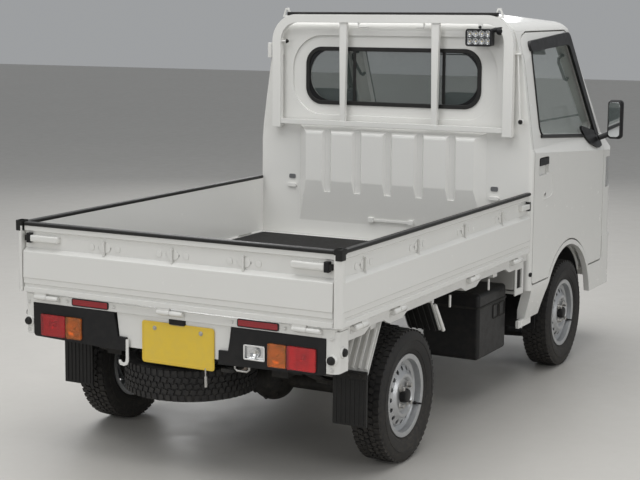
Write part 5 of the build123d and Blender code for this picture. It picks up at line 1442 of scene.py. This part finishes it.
# %% Seat belts
BELT_WEB = woven_cloth("belt webbing", (0.03, 0.03, 0.032), 420.0)
BUTTON_RED = worn_surface("buckle red", (0.45, 0.02, 0.02), gloss=(0.3, 0.4), grain=(900, 0.05), edge=0)
BELT_WIDTH, BELT_THICK = 0.046, 0.0014


def add_ribbon(bm, path, width_way, width, thick):
    """Flat strap along a path; its width lies along one direction."""
    path = [Vector(p) for p in path]
    across = Vector(width_way).normalized() * width / 2
    rings = []
    for i, point in enumerate(path):
        run = (path[min(i + 1, len(path) - 1)] - path[max(i - 1, 0)]).normalized()
        out = run.cross(across).normalized() * thick / 2
        corners = ((-across, -out), (across, -out), (across, out), (-across, out))
        rings.append([bm.verts.new(point + a + o) for a, o in corners])
    for one, two in zip(rings, rings[1:]):
        bridge(bm, one, two)
    bm.faces.new(rings[0][::-1])
    bm.faces.new(rings[-1])


def add_belt(sign):
    guide = Vector((0.365, sign * 0.618, 1.43))
    rising = [guide + Vector((0, 0, -0.01)), (0.368, sign * 0.622, 1.2), (0.374, sign * 0.628, 0.95),
              (0.38, sign * 0.632, 0.66)]
    falling = [guide + Vector((0.006, -sign * 0.004, 0)), (0.378, sign * 0.611, 1.1),
               (0.392, sign * 0.612, 0.8), (0.402, sign * 0.612, 0.64)]
    for path in (rising, falling):
        add_ribbon(belt_bm, path, AHEAD, BELT_WIDTH, BELT_THICK)
    add_panel(buckle_bm, (guide.x - 0.03, guide.z - 0.016), (guide.x + 0.038, guide.z + 0.03), 0.012, "Y",
              *span(sign, 0.61, 0.628))
    add_bar(frame_bm, (0.5, sign * 0.105, 0.605), (0.53, sign * 0.105, 0.7), 0.006)
    near, far = span(sign, 0.092, 0.117)
    add_box(buckle_bm, (0.51, near, 0.69), (0.548, far, 0.748))
    add_box(button_bm, (0.516, near + 0.004, 0.742), (0.542, far - 0.004, 0.7505))


for _, sign in SIDES:
    add_seat_frame(sign)
    add_belt(sign)
add_piece("seat_frames", frame_bm, CHASSIS_BLACK, bevel=0.002)
add_piece("headrest_rods", rod_bm, STEEL)
add_piece("seat_belts", belt_bm, BELT_WEB, "seat_cloth")
add_piece("belt_buckles", buckle_bm, BLACK_PLASTIC, bevel=0.002)
add_piece("belt_buttons", button_bm, BUTTON_RED, "red_lens", bevel=0.001)
print("seats dressed:", len(SIDES))

# %% [markdown]
# ## Instruments
# Through the windows one sees the top of the dashboard, so it gets a hooded instrument with
# three dials. Each dial is a bright ring, a row of short marks round it and a pointer.

# %% Instruments
DRIVER_Y = -0.34
HOOD = [(1.222, 1.01), (1.236, 1.062), (1.262, 1.088), (1.33, 1.086), (1.372, 1.056), (1.3, 1.03)]
# Each dial: shift from the driver's middle, radius
DIALS = ((0, 0.033), (-0.074, 0.021), (0.074, 0.021))
MARK_COUNT, MARK_FIRST, MARK_STEP = 11, -30, 24
MARK_HALF = Vector((0.0006, 0.001, 0.001))
dark_bm, grey_bm, dial_bm, mark_bm, bright_bm = open_meshes(5)
add_plate(dark_bm, HOOD, "Y", DRIVER_Y - 0.13, DRIVER_Y + 0.13)
add_panel(dial_bm, (DRIVER_Y - 0.118, 0.962), (DRIVER_Y + 0.118, 1.04), 0.02, "X", 1.216, 1.24)
for shift, radius in DIALS:
    centre = Vector((1.215, DRIVER_Y + shift, 1.0))
    ring = [(radius + 0.002, 0), (radius + 0.002, 0.0022), (radius, 0.0022), (radius, 0)]
    add_turned(bright_bm, ring, centre, BACK, sides=40)
    for k in range(MARK_COUNT):
        a = radians(MARK_FIRST + MARK_STEP * k)
        middle = centre + Vector((-0.0006, cos(a) * radius * 0.84, sin(a) * radius * 0.84))
        add_box(mark_bm, middle - MARK_HALF, middle + MARK_HALF)
    pointer_tip = centre + Vector((-0.0016, radius * 0.5, radius * 0.62))
    add_bar(mark_bm, centre + Vector((-0.0016, 0, 0)), pointer_tip, 0.0009, sides=6)
print("dials:", len(DIALS))

# %% [markdown]
# ## Vents, radio panel and glove box
# The dashboard's flat face carries four slatted vents, a blank radio panel over three knobs,
# and the outline of a glove box lid with its catch.

# %% Vents, radio panel and glove box
DASH_X = 1.238
VENTS = ((-0.56, 0.052), (-0.075, 0.06), (0.075, 0.06), (0.56, 0.052))
SLAT_COUNT, SLAT_PITCH = 5, 0.0076
KNOB = [(0, 0.016), (0.012, 0.016), (0.0145, 0.013), (0.0155, 0), (0, 0)]
KNOBS_Y = (-0.072, 0, 0.072)
for y, half in VENTS:
    add_frame(dark_bm, (y - half, 0.958), (y + half, 1.004), 0.008, 0.006, "X", DASH_X - 0.008,
              DASH_X + 0.006)
    for k in range(SLAT_COUNT):
        z = 0.966 + k * SLAT_PITCH
        add_box(dark_bm, (DASH_X - 0.006, y - half + 0.004, z),
                (DASH_X + 0.004, y + half - 0.004, z + 0.0022))
add_panel(dark_bm, (-0.105, 0.868), (0.105, 0.948), 0.01, "X", DASH_X - 0.006, DASH_X + 0.008)
add_frame(grey_bm, (-0.092, 0.908), (0.092, 0.942), 0.004, 0.004, "X", DASH_X - 0.009, DASH_X)
for y in KNOBS_Y:
    add_turned(dark_bm, KNOB, (DASH_X - 0.005, y, 0.888), BACK, sides=28)
add_frame(grey_bm, (0.17, 0.866), (0.6, 0.946), 0.014, 0.01, "X", DASH_X - 0.004, DASH_X + 0.01)
add_box(dark_bm, (DASH_X - 0.008, 0.362, 0.926), (DASH_X, 0.408, 0.938))
print("vents:", len(VENTS))

# %% [markdown]
# ## Stalks, levers and pedals
# Two stalks stand out of the steering column. The gear lever in its boot, the hand brake and
# the three pedals are further in and kept simple. All ride on the cab.

# %% Stalks, levers and pedals
BOOT = [(0, 0), (0.06, 0), (0.056, 0.018), (0.046, 0.03), (0.04, 0.052), (0.028, 0.062),
        (0.024, 0.088), (0.01, 0.1), (0, 0.1)]
# Each pedal: y from the driver's middle, half its width, height
PEDALS = ((0.095, 0.022, 0.575), (-0.01, 0.036, 0.6), (-0.11, 0.036, 0.6))
for y, length in ((DRIVER_Y + 0.055, 0.11), (DRIVER_Y - 0.055, -0.11)):
    foot = Vector((1.072, y, 0.912))
    reach, grip, tip = (foot + Vector((0, length * share, up))
                        for share, up in ((0.55, 0.03), (0.52, 0.028), (1, 0.054)))
    add_bar(dark_bm, foot, reach, 0.0055, 0.005)
    add_bar(dark_bm, grip, tip, 0.0085, 0.0078)
add_box(dark_bm, (1.058, DRIVER_Y - 0.056, 0.886), (1.12, DRIVER_Y + 0.056, 0.936))
add_turned(dark_bm, BOOT, (1.04, -0.02, 0.478), UP, sides=32)
add_bar(bright_bm, (1.04, -0.02, 0.57), (1.006, -0.026, 0.75), 0.006)
knob_place = Matrix.Translation((1.003, -0.026, 0.762)) @ Matrix.Diagonal((1, 1, 1.25, 1))
add_ball(dark_bm, knob_place, 0.022, 24, 14)
add_bar(dark_bm, (0.56, -0.02, 0.612), (0.7, -0.02, 0.69), 0.012)
add_bar(dark_bm, (0.69, -0.02, 0.684), (0.8, -0.02, 0.745), 0.0155, 0.014)
add_box(dark_bm, (0.54, -0.045, 0.6005), (0.64, 0.005, 0.622))
for away, half, z in PEDALS:
    y = DRIVER_Y + away
    pad = rounded([(1.262, z - 0.032), (1.274, z - 0.028), (1.246, z + 0.034), (1.234, z + 0.03)], 0.003)
    add_plate(dark_bm, pad, "Y", y - half, y + half)
    arm = [(1.262, y, z), (1.3, y, z + 0.06), (1.335, y, z + 0.16), (1.345, y, z + 0.26)]
    add_swept(dark_bm, arm, 0.006)
DIAL_FACE = worn_surface("dial face", (0.012, 0.013, 0.014), gloss=(0.1, 0.15), grain=(900, 0.01), drift=0.02,
                         edge=0)
DIAL_MARKS = worn_surface("dial marks", (0.75, 0.75, 0.72), gloss=(0.4, 0.5), grain=(900, 0.01), edge=0)
add_piece("dash_fittings", dark_bm, BLACK_PLASTIC, bevel=0.0012)
add_piece("dash_panels", grey_bm, GREY_PLASTIC, bevel=0.001)
add_piece("instrument_face", dial_bm, DIAL_FACE, "black_plastic", bevel=0.002)
add_piece("instrument_marks", mark_bm, DIAL_MARKS, "grey_plastic")
add_piece("dash_bright_parts", bright_bm, STEEL)
print("pedals:", len(PEDALS))

# %% [markdown]
# ## Steering wheel boss and stitches
# The CAD steering wheel gets a padded boss, and its rim a row of small raised stitches all
# the way round. Both ride on the wheel and turn with it, so they are placed from its axis.

# %% Wheel boss and stitches
WHEEL_AT = Vector((1.01, DRIVER_Y, 1.0))
WHEEL_AXIS = Vector((-0.5, 0, 0.866))
WHEEL_RIM_R = 0.18
STITCH_COUNT = 72
BOSS = [(0, 0.034), (0.03, 0.033), (0.05, 0.027), (0.058, 0.016), (0.058, -0.006), (0, -0.006)]
STITCH = [(0.01405, -0.0008), (0.0148, 0), (0.01405, 0.0008), (0.013, 0)]
boss_bm, stitch_bm = open_meshes(2)
add_turned(boss_bm, BOSS, WHEEL_AT, WHEEL_AXIS, sides=48)
wheel_frame = axis_frame(WHEEL_AT, WHEEL_AXIS)
for k in range(STITCH_COUNT):
    a = 2 * pi * k / STITCH_COUNT
    at = wheel_frame @ Vector((WHEEL_RIM_R * cos(a), WHEEL_RIM_R * sin(a), 0))
    add_turned(stitch_bm, STITCH, at, wheel_frame.to_3x3() @ Vector((-sin(a), cos(a), 0)), sides=16)
add_piece("wheel_boss", boss_bm, BLACK_PLASTIC, body="steering_wheel")
add_piece("wheel_stitches", stitch_bm, BLACK_PLASTIC, body="steering_wheel")
print("stitches:", STITCH_COUNT)

# %% [markdown]
# ## Visors, inside mirror and grips
# Up by the windscreen hang two sun visors and the inside mirror, and a grab handle follows
# each front pillar.

# %% Visors, inside mirror and grips
VISOR = rounded([(1.08, 1.556), (1.089, 1.562), (1.03, 1.648), (1.021, 1.642)], 0.004)
GRIP = [(1.14, 1.556), (1.078, 1.554), (1.044, 1.54), (1.046, 1.518), (1.142, 1.434), (1.172, 1.426),
        (1.222, 1.446)]
GRIP_Y = 0.585
MIRROR_GLASS = worn_surface("mirror glass", (0.8, 0.82, 0.83), gloss=(0.02, 0.05), grain=(60, 0.002),
                            drift=0.02, edge=0, Metallic=1.0)
visor_bm, grip_bm, mirror_bm = open_meshes(3)
for _, sign in SIDES:
    add_plate(visor_bm, VISOR, "Y", *span(sign, 0.105, 0.5))
    add_swept(grip_bm, [(x, sign * GRIP_Y, z) for x, z in GRIP], 0.0085)
add_bar(grip_bm, (1.075, 0, 1.64), (1.06, 0, 1.59), 0.007)
add_panel(grip_bm, (-0.105, 1.548), (0.105, 1.604), 0.022, "X", 1.042, 1.066, 8)
add_panel(mirror_bm, (-0.099, 1.553), (0.099, 1.599), 0.019, "X", 1.0405, 1.0425, 8)
add_piece("sun_visors", visor_bm, GREY_PLASTIC, bevel=0.003)
add_piece("cab_grips", grip_bm, BLACK_PLASTIC, bevel=0.003)
add_piece("inside_mirror_glass", mirror_bm, MIRROR_GLASS, "glass")
print("cab trimmed")

# %% [markdown]
# ## Mudguards and flaps
# Below the bed the photograph shows white mudguards with ribbed plates, a slanted bar at the
# guard's front edge, short pins under the rail, and ribbed flaps with a holding strip.

# %% Mudguards and flaps
AXLE_X = WHEEL_CENTRES["rear_left"].x
GUARD_TOP, GUARD_FOOT = (AXLE_X + 0.247, 0.604), (AXLE_X + 0.338, 0.474)
# The front slope's dark plate and its ribs: thickness, near y, far y
SLOPE_STRIPS = [(0.0095, 0.566, 0.7)] + [(0.014, 0.572 + 0.027 * k, 0.582 + 0.027 * k) for k in range(5)]
REAR_RIB = [(AXLE_X - 0.262, 0.59), (AXLE_X - 0.348, 0.446), (AXLE_X - 0.353, 0.449),
            (AXLE_X - 0.267, 0.593)]
REAR_RIB_COUNT, REAR_RIB_PITCH = 5, 0.028
FLAP_RIB_COUNT, FLAP_RIB_PITCH = 7, 0.019
PINS_X = (-0.608, -0.165)
white_bm, black_bm, rubber_bm, steel_bm = open_meshes(4)


def add_guard_and_flap(sign):
    for thick, near, far in SLOPE_STRIPS:
        outer = [(x - 0.819 * thick, z - 0.573 * thick) for x, z in (GUARD_FOOT, GUARD_TOP)]
        add_plate(rubber_bm, [GUARD_TOP, GUARD_FOOT, *outer], "Y", *span(sign, near, far))
    for k in range(REAR_RIB_COUNT):
        y = 0.578 + k * REAR_RIB_PITCH
        add_plate(white_bm, REAR_RIB, "Y", *span(sign, y, y + 0.012))
    add_bar(white_bm, (-0.775, sign * 0.704, 0.586), (-0.681, sign * 0.704, 0.463), 0.0085)
    for x in PINS_X:
        add_bar(white_bm, (x, sign * 0.7, 0.548), (x, sign * 0.7, 0.6), 0.005, 0.0055)
    for k in range(FLAP_RIB_COUNT):
        y = 0.576 + k * FLAP_RIB_PITCH
        near, far = span(sign, y, y + 0.007)
        add_box(rubber_bm, (-1.4235, near, 0.232), (-1.4195, far, 0.405))
    near, far = span(sign, 0.568, 0.705)
    add_box(black_bm, (-1.425, near, 0.412), (-1.419, far, 0.434))


# %% [markdown]
# ## Springs, dampers and pipes
# The leaf springs get their U bolts and the plate under them, and a slanted damper stands
# beside each. Brake pipes run forward along the frame, and a small white bracket sits low at
# the rear of the cab on each side.

# %% Springs, dampers and pipes
SPRING_Y = 0.445
U_BOLTS_X = (AXLE_X - 0.036, AXLE_X + 0.036)
# Half a U bolt's bend: distance from the spring's middle, height
U_BOLT = ((0.036, 0.222), (0.036, 0.328), (0.03, 0.338), (0.02, 0.342))
PIPES = ((-0.236, 0.52), (-0.252, 0.512), (0.25, 0.516))


def add_spring_and_damper(sign):
    y = sign * SPRING_Y
    for x in U_BOLTS_X:
        bend = [(x, y - away, z) for away, z in U_BOLT] + [(x, y + away, z) for away, z in reversed(U_BOLT)]
        add_swept(steel_bm, bend, 0.0055)
    near, far = span(sign, 0.401, 0.489)
    add_box(steel_bm, (AXLE_X - 0.05, near, 0.23), (AXLE_X + 0.05, far, 0.2365))
    foot = Vector((AXLE_X + 0.06, sign * 0.375, 0.262))
    head = Vector((AXLE_X + 0.205, sign * 0.345, 0.52))
    add_bar(black_bm, foot, foot.lerp(head, 0.55), 0.022)
    add_bar(steel_bm, foot.lerp(head, 0.55), head, 0.0075)
    add_bar(black_bm, foot.lerp(head, 0.56), foot.lerp(head, 0.92), 0.026)
    near, far = span(sign, 0.684, 0.7)
    add_box(white_bm, (0.236, near, 0.296), (0.4, far, 0.332))


for _, sign in SIDES:
    add_guard_and_flap(sign)
    add_spring_and_damper(sign)
for y, z in PIPES:
    pipe = [(-1.02, y, 0.33), (-0.98, y, 0.42), (-0.9, y, z - 0.02), (-0.8, y, z), (0.1, y, z),
            (0.25, y, z - 0.03), (0.7, y, z - 0.05)]
    add_swept(steel_bm, pipe, 0.0032, sides=8)
add_bar(steel_bm, (-1.672, -0.15, 0.44), (-1.67, -0.15, 0.4), 0.003)
add_bar(steel_bm, (-1.67, -0.15, 0.408), (-1.668, -0.15, 0.366), 0.0058)
print("pipes:", len(PIPES))

# %% [markdown]
# ## Battery box and fuel tank
# The battery box gets the edge of its lid and two window frames, and a dark plate stands
# behind the lashing bracket's hole. The tank gets two straps and a filler cap with a grip.

# %% Battery box and fuel tank
CAP_PROFILE = [(0, 0.024), (0.024, 0.024), (0.031, 0.02), (0.033, 0.006), (0.027, 0.004), (0.027, 0),
               (0, 0)]
BOX_WINDOWS_X = (0.012, 0.09)
low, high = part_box("battery_box")
lid = block_outline((low.x - 0.003, low.y - 0.003), (high.x + 0.003, high.y + 0.003), 0.012)
add_ring(black_bm, lid, grown(lid, -0.006), "Z", 0.452, 0.462)
for x in BOX_WINDOWS_X:
    add_frame(black_bm, (x, 0.378), (x + 0.07, 0.446), 0.01, 0.006, "Y", low.y - 0.004, low.y + 0.002)
add_box(black_bm, (0.156, -0.705, 0.494), (0.226, -0.7, 0.596))

low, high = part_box("fuel_tank")
section = block_outline((low.y - 0.003, low.z - 0.003), (high.y + 0.003, high.z + 0.003), 0.032, 8)
for x in (low.x + 0.11, high.x - 0.13):
    add_ring(steel_bm, section, grown(section, -0.008), "X", x - 0.014, x + 0.014)
middle = Vector(((low.x + high.x) / 2 + 0.02, high.y - 0.004, 0.445))
add_turned(black_bm, CAP_PROFILE, middle, (0, 1, 0), sides=40)
add_box(black_bm, middle + Vector((-0.005, 0.022, -0.02)), middle + Vector((0.005, 0.031, 0.02)))
add_piece("guard_ribs_and_pins", white_bm, WHITE, bevel=0.0012)
add_piece("underbody_black_parts", black_bm, CHASSIS_BLACK, bevel=0.0015)
add_piece("flap_ribs", rubber_bm, RUBBER, bevel=0.001)
add_piece("underbody_steel_parts", steel_bm, STEEL, bevel=0.0006)
print("underbody dressed")

# %% [markdown]
# ## Underbody bolts and plugs
# Bolts hold the flap strips, the spring shackles and the U bolts, and eight stand round the
# cover of the rear axle, cast onto it. A black plug sits low on each side of the cab.

# %% Underbody bolts and plugs
AXLE_COVER_Y, AXLE_COVER_Z, AXLE_COVER_R = -0.1, 0.2685, 0.074
COVER_BOLTS = 8
PLUG = [(0, 0.0045), (0.006, 0.0045), (0.0095, 0.003), (0.011, 0), (0.011, -0.006), (0, -0.006)]
places = [((-1.4245, sign * y, 0.423), BACK) for _, sign in SIDES for y in (0.59, 0.636, 0.682)]
places += [((AXLE_X + shift, sign * 0.484, 0.43), (0, sign, 0))
           for _, sign in SIDES for shift in (-0.43, 0.43)]
places += [((x, sign * SPRING_Y + dy, 0.226), (0, 0, -1))
           for _, sign in SIDES for x in U_BOLTS_X for dy in (-0.036, 0.036)]
ring = [(AXLE_X - 0.3, AXLE_COVER_Y + AXLE_COVER_R * cos(a), AXLE_COVER_Z + AXLE_COVER_R * sin(a))
        for a in (2 * pi * k / COVER_BOLTS for k in range(COVER_BOLTS))]
places += [(tuple(p), BACK) for p in laid_on(skin_of("rear_axle"), ring, AHEAD, 0.003)]
bolts("underbody_bolts", places, CHASSIS_BLACK, across=0.014, height=0.008)
bm = bmesh.new()
for _, sign in SIDES:
    add_turned(bm, PLUG, (0.3, sign * 0.7305, 0.548), (0, sign, 0), sides=24)
add_piece("cab_plugs", bm, BLACK_PLASTIC)
print("underbody bolts:", len(places))

# %% [markdown]
# ## Spare wheel
# The spare hangs flat under the bed. It gets the same tyre wall and tread tree as the road
# wheels, turned to lie flat, and a copy of the pressed rim with its face down.

# %% Spare wheel
low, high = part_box("spare_wheel")
spare_at = (low + high) / 2
add_piece("spare_tyre_wall", tyre_carcass(spare_at, (0, 0, -1)), TYRE_RUBBER, sharp=24,
          replaces=["spare_wheel"])
sizes = {"Tyre radius": TYRE_R, "Centre": spare_at, "Turn": (0, 0, 0)}
grow("spare_tyre_tread", TREAD, sizes, TYRE_RUBBER, sharp=30)
rim = NODES["rim_rear_left"].data.copy()
laid_flat = Matrix.Translation(spare_at) @ Matrix.Rotation(-pi / 2, 4, "X")
rim.transform(laid_flat @ Matrix.Translation(-WHEEL_CENTRES["rear_left"]))
place_piece("spare_rim", rim, SILVER)
print("spare wheel at", [round(c, 3) for c in spare_at])

# %% [markdown]
# ## Outside of the doors
# Each door gets its key barrel, the pressed line that curves below the handle, and a mirror
# glass. Every point on the skin is found by casting onto the CAD door, so the line follows
# its curve.

# %% Outside of the doors
HANDLE_LINE = [(0.562, 1.0), (0.566, 0.96), (0.567, 0.925), (0.562, 0.908), (0.55, 0.897), (0.53, 0.893),
               (0.45, 0.89)]
LINE_STEPS = 5
KEY_RING = [(0.0058, 0.0022), (0.0095, 0.0022), (0.0105, 0), (0.0105, -0.004), (0.0058, -0.004)]
KEY_BARREL = [(0, 0.0012), (0.006, 0.001), (0.006, -0.004), (0, -0.004)]
OUTSIDE_Y, INSIDE_Y = 0.9, 0.2


def dress_outside(side, sign, skin, dark_bm):
    door = "door_" + side
    outward, inward = (0, sign, 0), (0, -sign, 0)
    line_bm, ring_bm, mirror_bm = open_meshes(3)
    steps = [Vector(a).lerp(b, t / LINE_STEPS) for a, b in zip(HANDLE_LINE, HANDLE_LINE[1:])
             for t in range(LINE_STEPS)]
    steps.append(Vector(HANDLE_LINE[-1]))
    path = laid_on(skin, [(p.x, sign * OUTSIDE_Y, p.y) for p in steps], inward, 0.0002)
    add_swept(line_bm, path, 0.0024, sides=8)
    add_piece("handle_line_" + side, line_bm, WHITE, body=door)
    key = laid_on(skin, [(0.463, sign * OUTSIDE_Y, 0.914)], inward)[0]
    add_turned(ring_bm, KEY_RING, key, outward, sides=28)
    add_piece("key_ring_" + side, ring_bm, STEEL, body=door)
    add_turned(dark_bm, KEY_BARREL, key, outward, sides=24)
    near, far = span(sign, 0.7705, 0.8295)
    add_panel(mirror_bm, (near, 1.128), (far, 1.308), 0.018, "X", 1.3186, 1.3215, 8)
    add_piece("mirror_glass_" + side, mirror_bm, MIRROR_GLASS, "glass", body=door, bevel=0.0008)


# %% [markdown]
# ## Inside of the doors
# Inside, each door has an armrest, a window crank, an opener in its dish and a pull. They
# stand on the inner face at the places where it is found by casting outward from the cab.

# %% Inside of the doors
INNER_PLACES = ((0.62, 0.9), (0.88, 0.9), (1.02, 0.84), (0.98, 0.98), (0.52, 0.99))
CRANK_HUB = [(0, 0.02), (0.018, 0.02), (0.021, 0.014), (0.022, -0.006), (0, -0.006)]
# The pull's bend: x, distance out from the face, z
PULL = ((0.5, 0.004, 1.005), (0.5, -0.022, 1.005), (0.508, -0.032, 1.003), (0.612, -0.032, 0.985),
        (0.62, -0.022, 0.983), (0.62, 0.004, 0.983))


def dress_inside(side, sign, skin, dark_bm):
    door = "door_" + side
    outward, inward = (0, sign, 0), (0, -sign, 0)
    places = [(x, sign * INSIDE_Y, z) for x, z in INNER_PLACES]
    rear, front, crank, opener, pull = laid_on(skin, places, outward)
    rest_bm = bmesh.new()
    armrest = rounded([(rear.x, rear.z - 0.03), (front.x, rear.z - 0.022), (front.x + 0.03, rear.z + 0.012),
                       (front.x, rear.z + 0.026), (rear.x, rear.z + 0.026)], 0.01)
    add_plate(rest_bm, armrest, "Y", *sorted((rear.y + sign * 0.004, rear.y - sign * 0.045)))
    add_turned(dark_bm, CRANK_HUB, crank, inward, sides=28)
    hub, knob = crank + Vector((0, -sign * 0.016, 0)), crank + Vector((-0.08, -sign * 0.026, 0.05))
    add_bar(dark_bm, hub, knob, 0.008, 0.006)
    add_bar(dark_bm, knob, knob + Vector((0, -sign * 0.024, 0)), 0.0095, 0.0085)
    add_panel(dark_bm, (0.93, 0.96), (1.03, 1.004), 0.012, "Y",
              *sorted((opener.y + sign * 0.004, opener.y - sign * 0.014)))
    add_panel(rest_bm, (0.945, 0.972), (1.01, 0.99), 0.006, "Y",
              *sorted((opener.y - sign * 0.012, opener.y - sign * 0.022)))
    add_swept(dark_bm, [(x, pull.y + sign * out, z) for x, out, z in PULL], 0.008)
    add_piece("door_dark_parts_" + side, dark_bm, BLACK_PLASTIC, body=door, bevel=0.001)
    add_piece("armrest_" + side, rest_bm, GREY_PLASTIC, body=door, bevel=0.004)


for side, sign in SIDES:
    door_skin, dark_bm = skin_of("door_" + side), bmesh.new()
    dress_outside(side, sign, door_skin, dark_bm)
    dress_inside(side, sign, door_skin, dark_bm)
print("doors dressed:", len(SIDES))

# %% [markdown]
# ## Arch liners
# Behind each door a dark liner closes the front wheel arch. It is a thin half shell round
# the wheel's axis, and both liners are one piece.

# %% Arch liners
LINER_STEPS = 48
LINER_R = (0.3425, 0.3385)
LINER_Y = (0.52, 0.684)
arch = WHEEL_CENTRES["front_left"]
angles = [radians(-4 + 188 * k / LINER_STEPS) for k in range(LINER_STEPS + 1)]
shell = [(arch.x + r * cos(a), arch.z + r * sin(a))
         for r, turns in zip(LINER_R, (angles, angles[::-1])) for a in turns]
bm = bmesh.new()
for _, sign in SIDES:
    add_plate(bm, shell, "Y", *span(sign, *LINER_Y))
add_piece("arch_liners", bm, BLACK_PLASTIC)
print("arch liners:", len(SIDES))

# %% [markdown]
# ## Headlamps
# The clear lamp blocks of the CAD stay as covers, but in clear plastic that lets one look in.
# Inside each sits a silver body, made from a copy of the block shrunk inward and set back,
# with a turned bowl, a bulb and an amber bulb beside it.

# %% Headlamps
LAMP_COVER = clear_pane("headlamp cover", (0.55, 0.57, 0.58), 0.8, 0.02)
AMBER_BULB = lens("amber bulb", (0.85, 0.28, 0.02), 0.1)
BODY_SHRINK, BODY_BACK = 0.005, 0.01
BOWL = [(0.064, 0.01), (0.058, 0.003), (0.046, -0.004), (0.03, -0.01), (0.012, -0.013), (0.012, -0.016),
        (0.05, -0.012), (0.067, 0.006), (0.067, 0.01)]
BULB = [(0, 0.012), (0.006, 0.01), (0.009, 0.004), (0.009, -0.012), (0, -0.012)]
TURN_BULB = [(0, 0.004), (0.01, 0.002), (0.013, -0.004), (0.013, -0.014), (0, -0.014)]
CAST_FROM_FRONT = 2.2
for held in NODES["clear_lamps"].material_slots:
    held.material = LAMP_COVER
bm = bmesh.new()
bm.from_mesh(NODES["clear_lamps"].data)
bmesh.ops.remove_doubles(bm, verts=bm.verts, dist=MERGE_DISTANCE)
bmesh.ops.delete(bm, geom=[v for v in bm.verts if v.co.x < 0], context="VERTS")
bm.normal_update()
moves = [(v, v.normal * -BODY_SHRINK - Vector((BODY_BACK, 0, 0))) for v in bm.verts]
for v, move in moves:
    v.co += move
add_piece("headlamp_bodies", bm, LAMP_SILVER, "silver_paint")
bowl_bm, bulb_bm, amber_bm = open_meshes(3)
lamp_skin = skin_of("clear_lamps")
for _, sign in SIDES:
    lamp, turn_lamp = (laid_on(lamp_skin, [(CAST_FROM_FRONT, sign * y, z)], BACK)[0]
                       for y, z in ((0.59, 0.932), (0.69, 0.935)))
    centre = lamp + Vector((-0.02, 0, 0))
    add_turned(bowl_bm, BOWL, centre, AHEAD, sides=56)
    add_turned(bulb_bm, BULB, centre, AHEAD, sides=24)
    add_turned(amber_bm, TURN_BULB, turn_lamp + Vector((-0.014, 0, 0)), AHEAD, sides=28)
add_piece("headlamp_bowls", bowl_bm, LAMP_SILVER, "silver_paint")
add_piece("headlamp_bulbs", bulb_bm, BULB_GLASS, "clear_lens")
add_piece("front_turn_bulbs", amber_bm, AMBER_BULB, "red_lens")
print("headlamps:", len(SIDES))

# %% [markdown]
# ## Front face
# The front grille gets its dark bars, and a small screw sits in each hole of the empty plate
# holder. Both are one dark piece.

# %% Front face
BAR_COUNT, BAR_PITCH = 4, 0.0155
PLATE_HOLES_Y, PLATE_HOLE_Z = (-0.105, 0.105), 0.565
SCREW = [(0, -0.004), (0.004, -0.004), (0.0062, -0.006), (0.0062, -0.016), (0, -0.016)]
low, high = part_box("bumper_grille")
bm = bmesh.new()
for k in range(BAR_COUNT):
    z = low.z + 0.012 + k * BAR_PITCH
    add_box(bm, (high.x - 0.003, low.y + 0.01, z), (high.x + 0.004, high.y - 0.01, z + 0.004))
front_skin = skin_of("cab_front_panel", "front_bumper")
for y in PLATE_HOLES_Y:
    beside = laid_on(front_skin, [(CAST_FROM_FRONT, y + 0.016, PLATE_HOLE_Z)], BACK)[0]
    add_turned(bm, SCREW, (beside.x, y, PLATE_HOLE_Z), AHEAD, sides=20)
add_piece("front_dark_parts", bm, BLACK_PLASTIC)
print("front dressed")

# %% [markdown]
# ## Floor and light
# A plain pale floor and a soft studio keep the white truck readable. One large light gives
# the gentle top light of the photograph, three weaker ones fill in from side, rear and
# front, and the world is a plain pale grey.

# %% Floor and light
floor_bm = bmesh.new()
bmesh.ops.create_grid(floor_bm, x_segments=1, y_segments=1, size=30)
floor_mesh = bpy.data.meshes.new("floor")
floor_bm.to_mesh(floor_mesh)
floor = bpy.data.objects.new("floor", floor_mesh)
bpy.context.collection.objects.link(floor)
floor_mesh.materials.append(worn_surface("pale floor", (0.5, 0.485, 0.455), gloss=(0.35, 0.5), drift=0.05,
                                         grain=(60, 0.03), blotch=0.8, edge=0))

world = bpy.data.worlds.new("studio")
bpy.context.scene.world = world
world.use_nodes = True
world.node_tree.nodes["Background"].inputs["Color"].default_value = (0.8, 0.82, 0.84, 1)
world.node_tree.nodes["Background"].inputs["Strength"].default_value = 0.42


def soft_light(name, place, aim, size, power):
    data = bpy.data.lights.new(name, "AREA")
    data.shape = "RECTANGLE"
    data.size, data.size_y = size
    data.energy = power
    made = bpy.data.objects.new(name, data)
    made.location = place
    made.rotation_euler = (Vector(aim) - Vector(place)).to_track_quat("-Z", "Y").to_euler()
    bpy.context.collection.objects.link(made)


soft_light("overhead", (-0.5, 0.5, 5.5), (-0.2, 0, 0.8), (8, 7), 395)
soft_light("side fill", (-2.5, -6.5, 2.6), (-0.3, 0, 0.8), (4, 2.5), 90)
soft_light("rear fill", (-7.5, 1.5, 2.8), (-1.0, 0, 0.8), (4, 2.5), 75)
soft_light("front fill", (6.5, 3.5, 3.5), (1.0, 0, 0.9), (4, 3), 90)
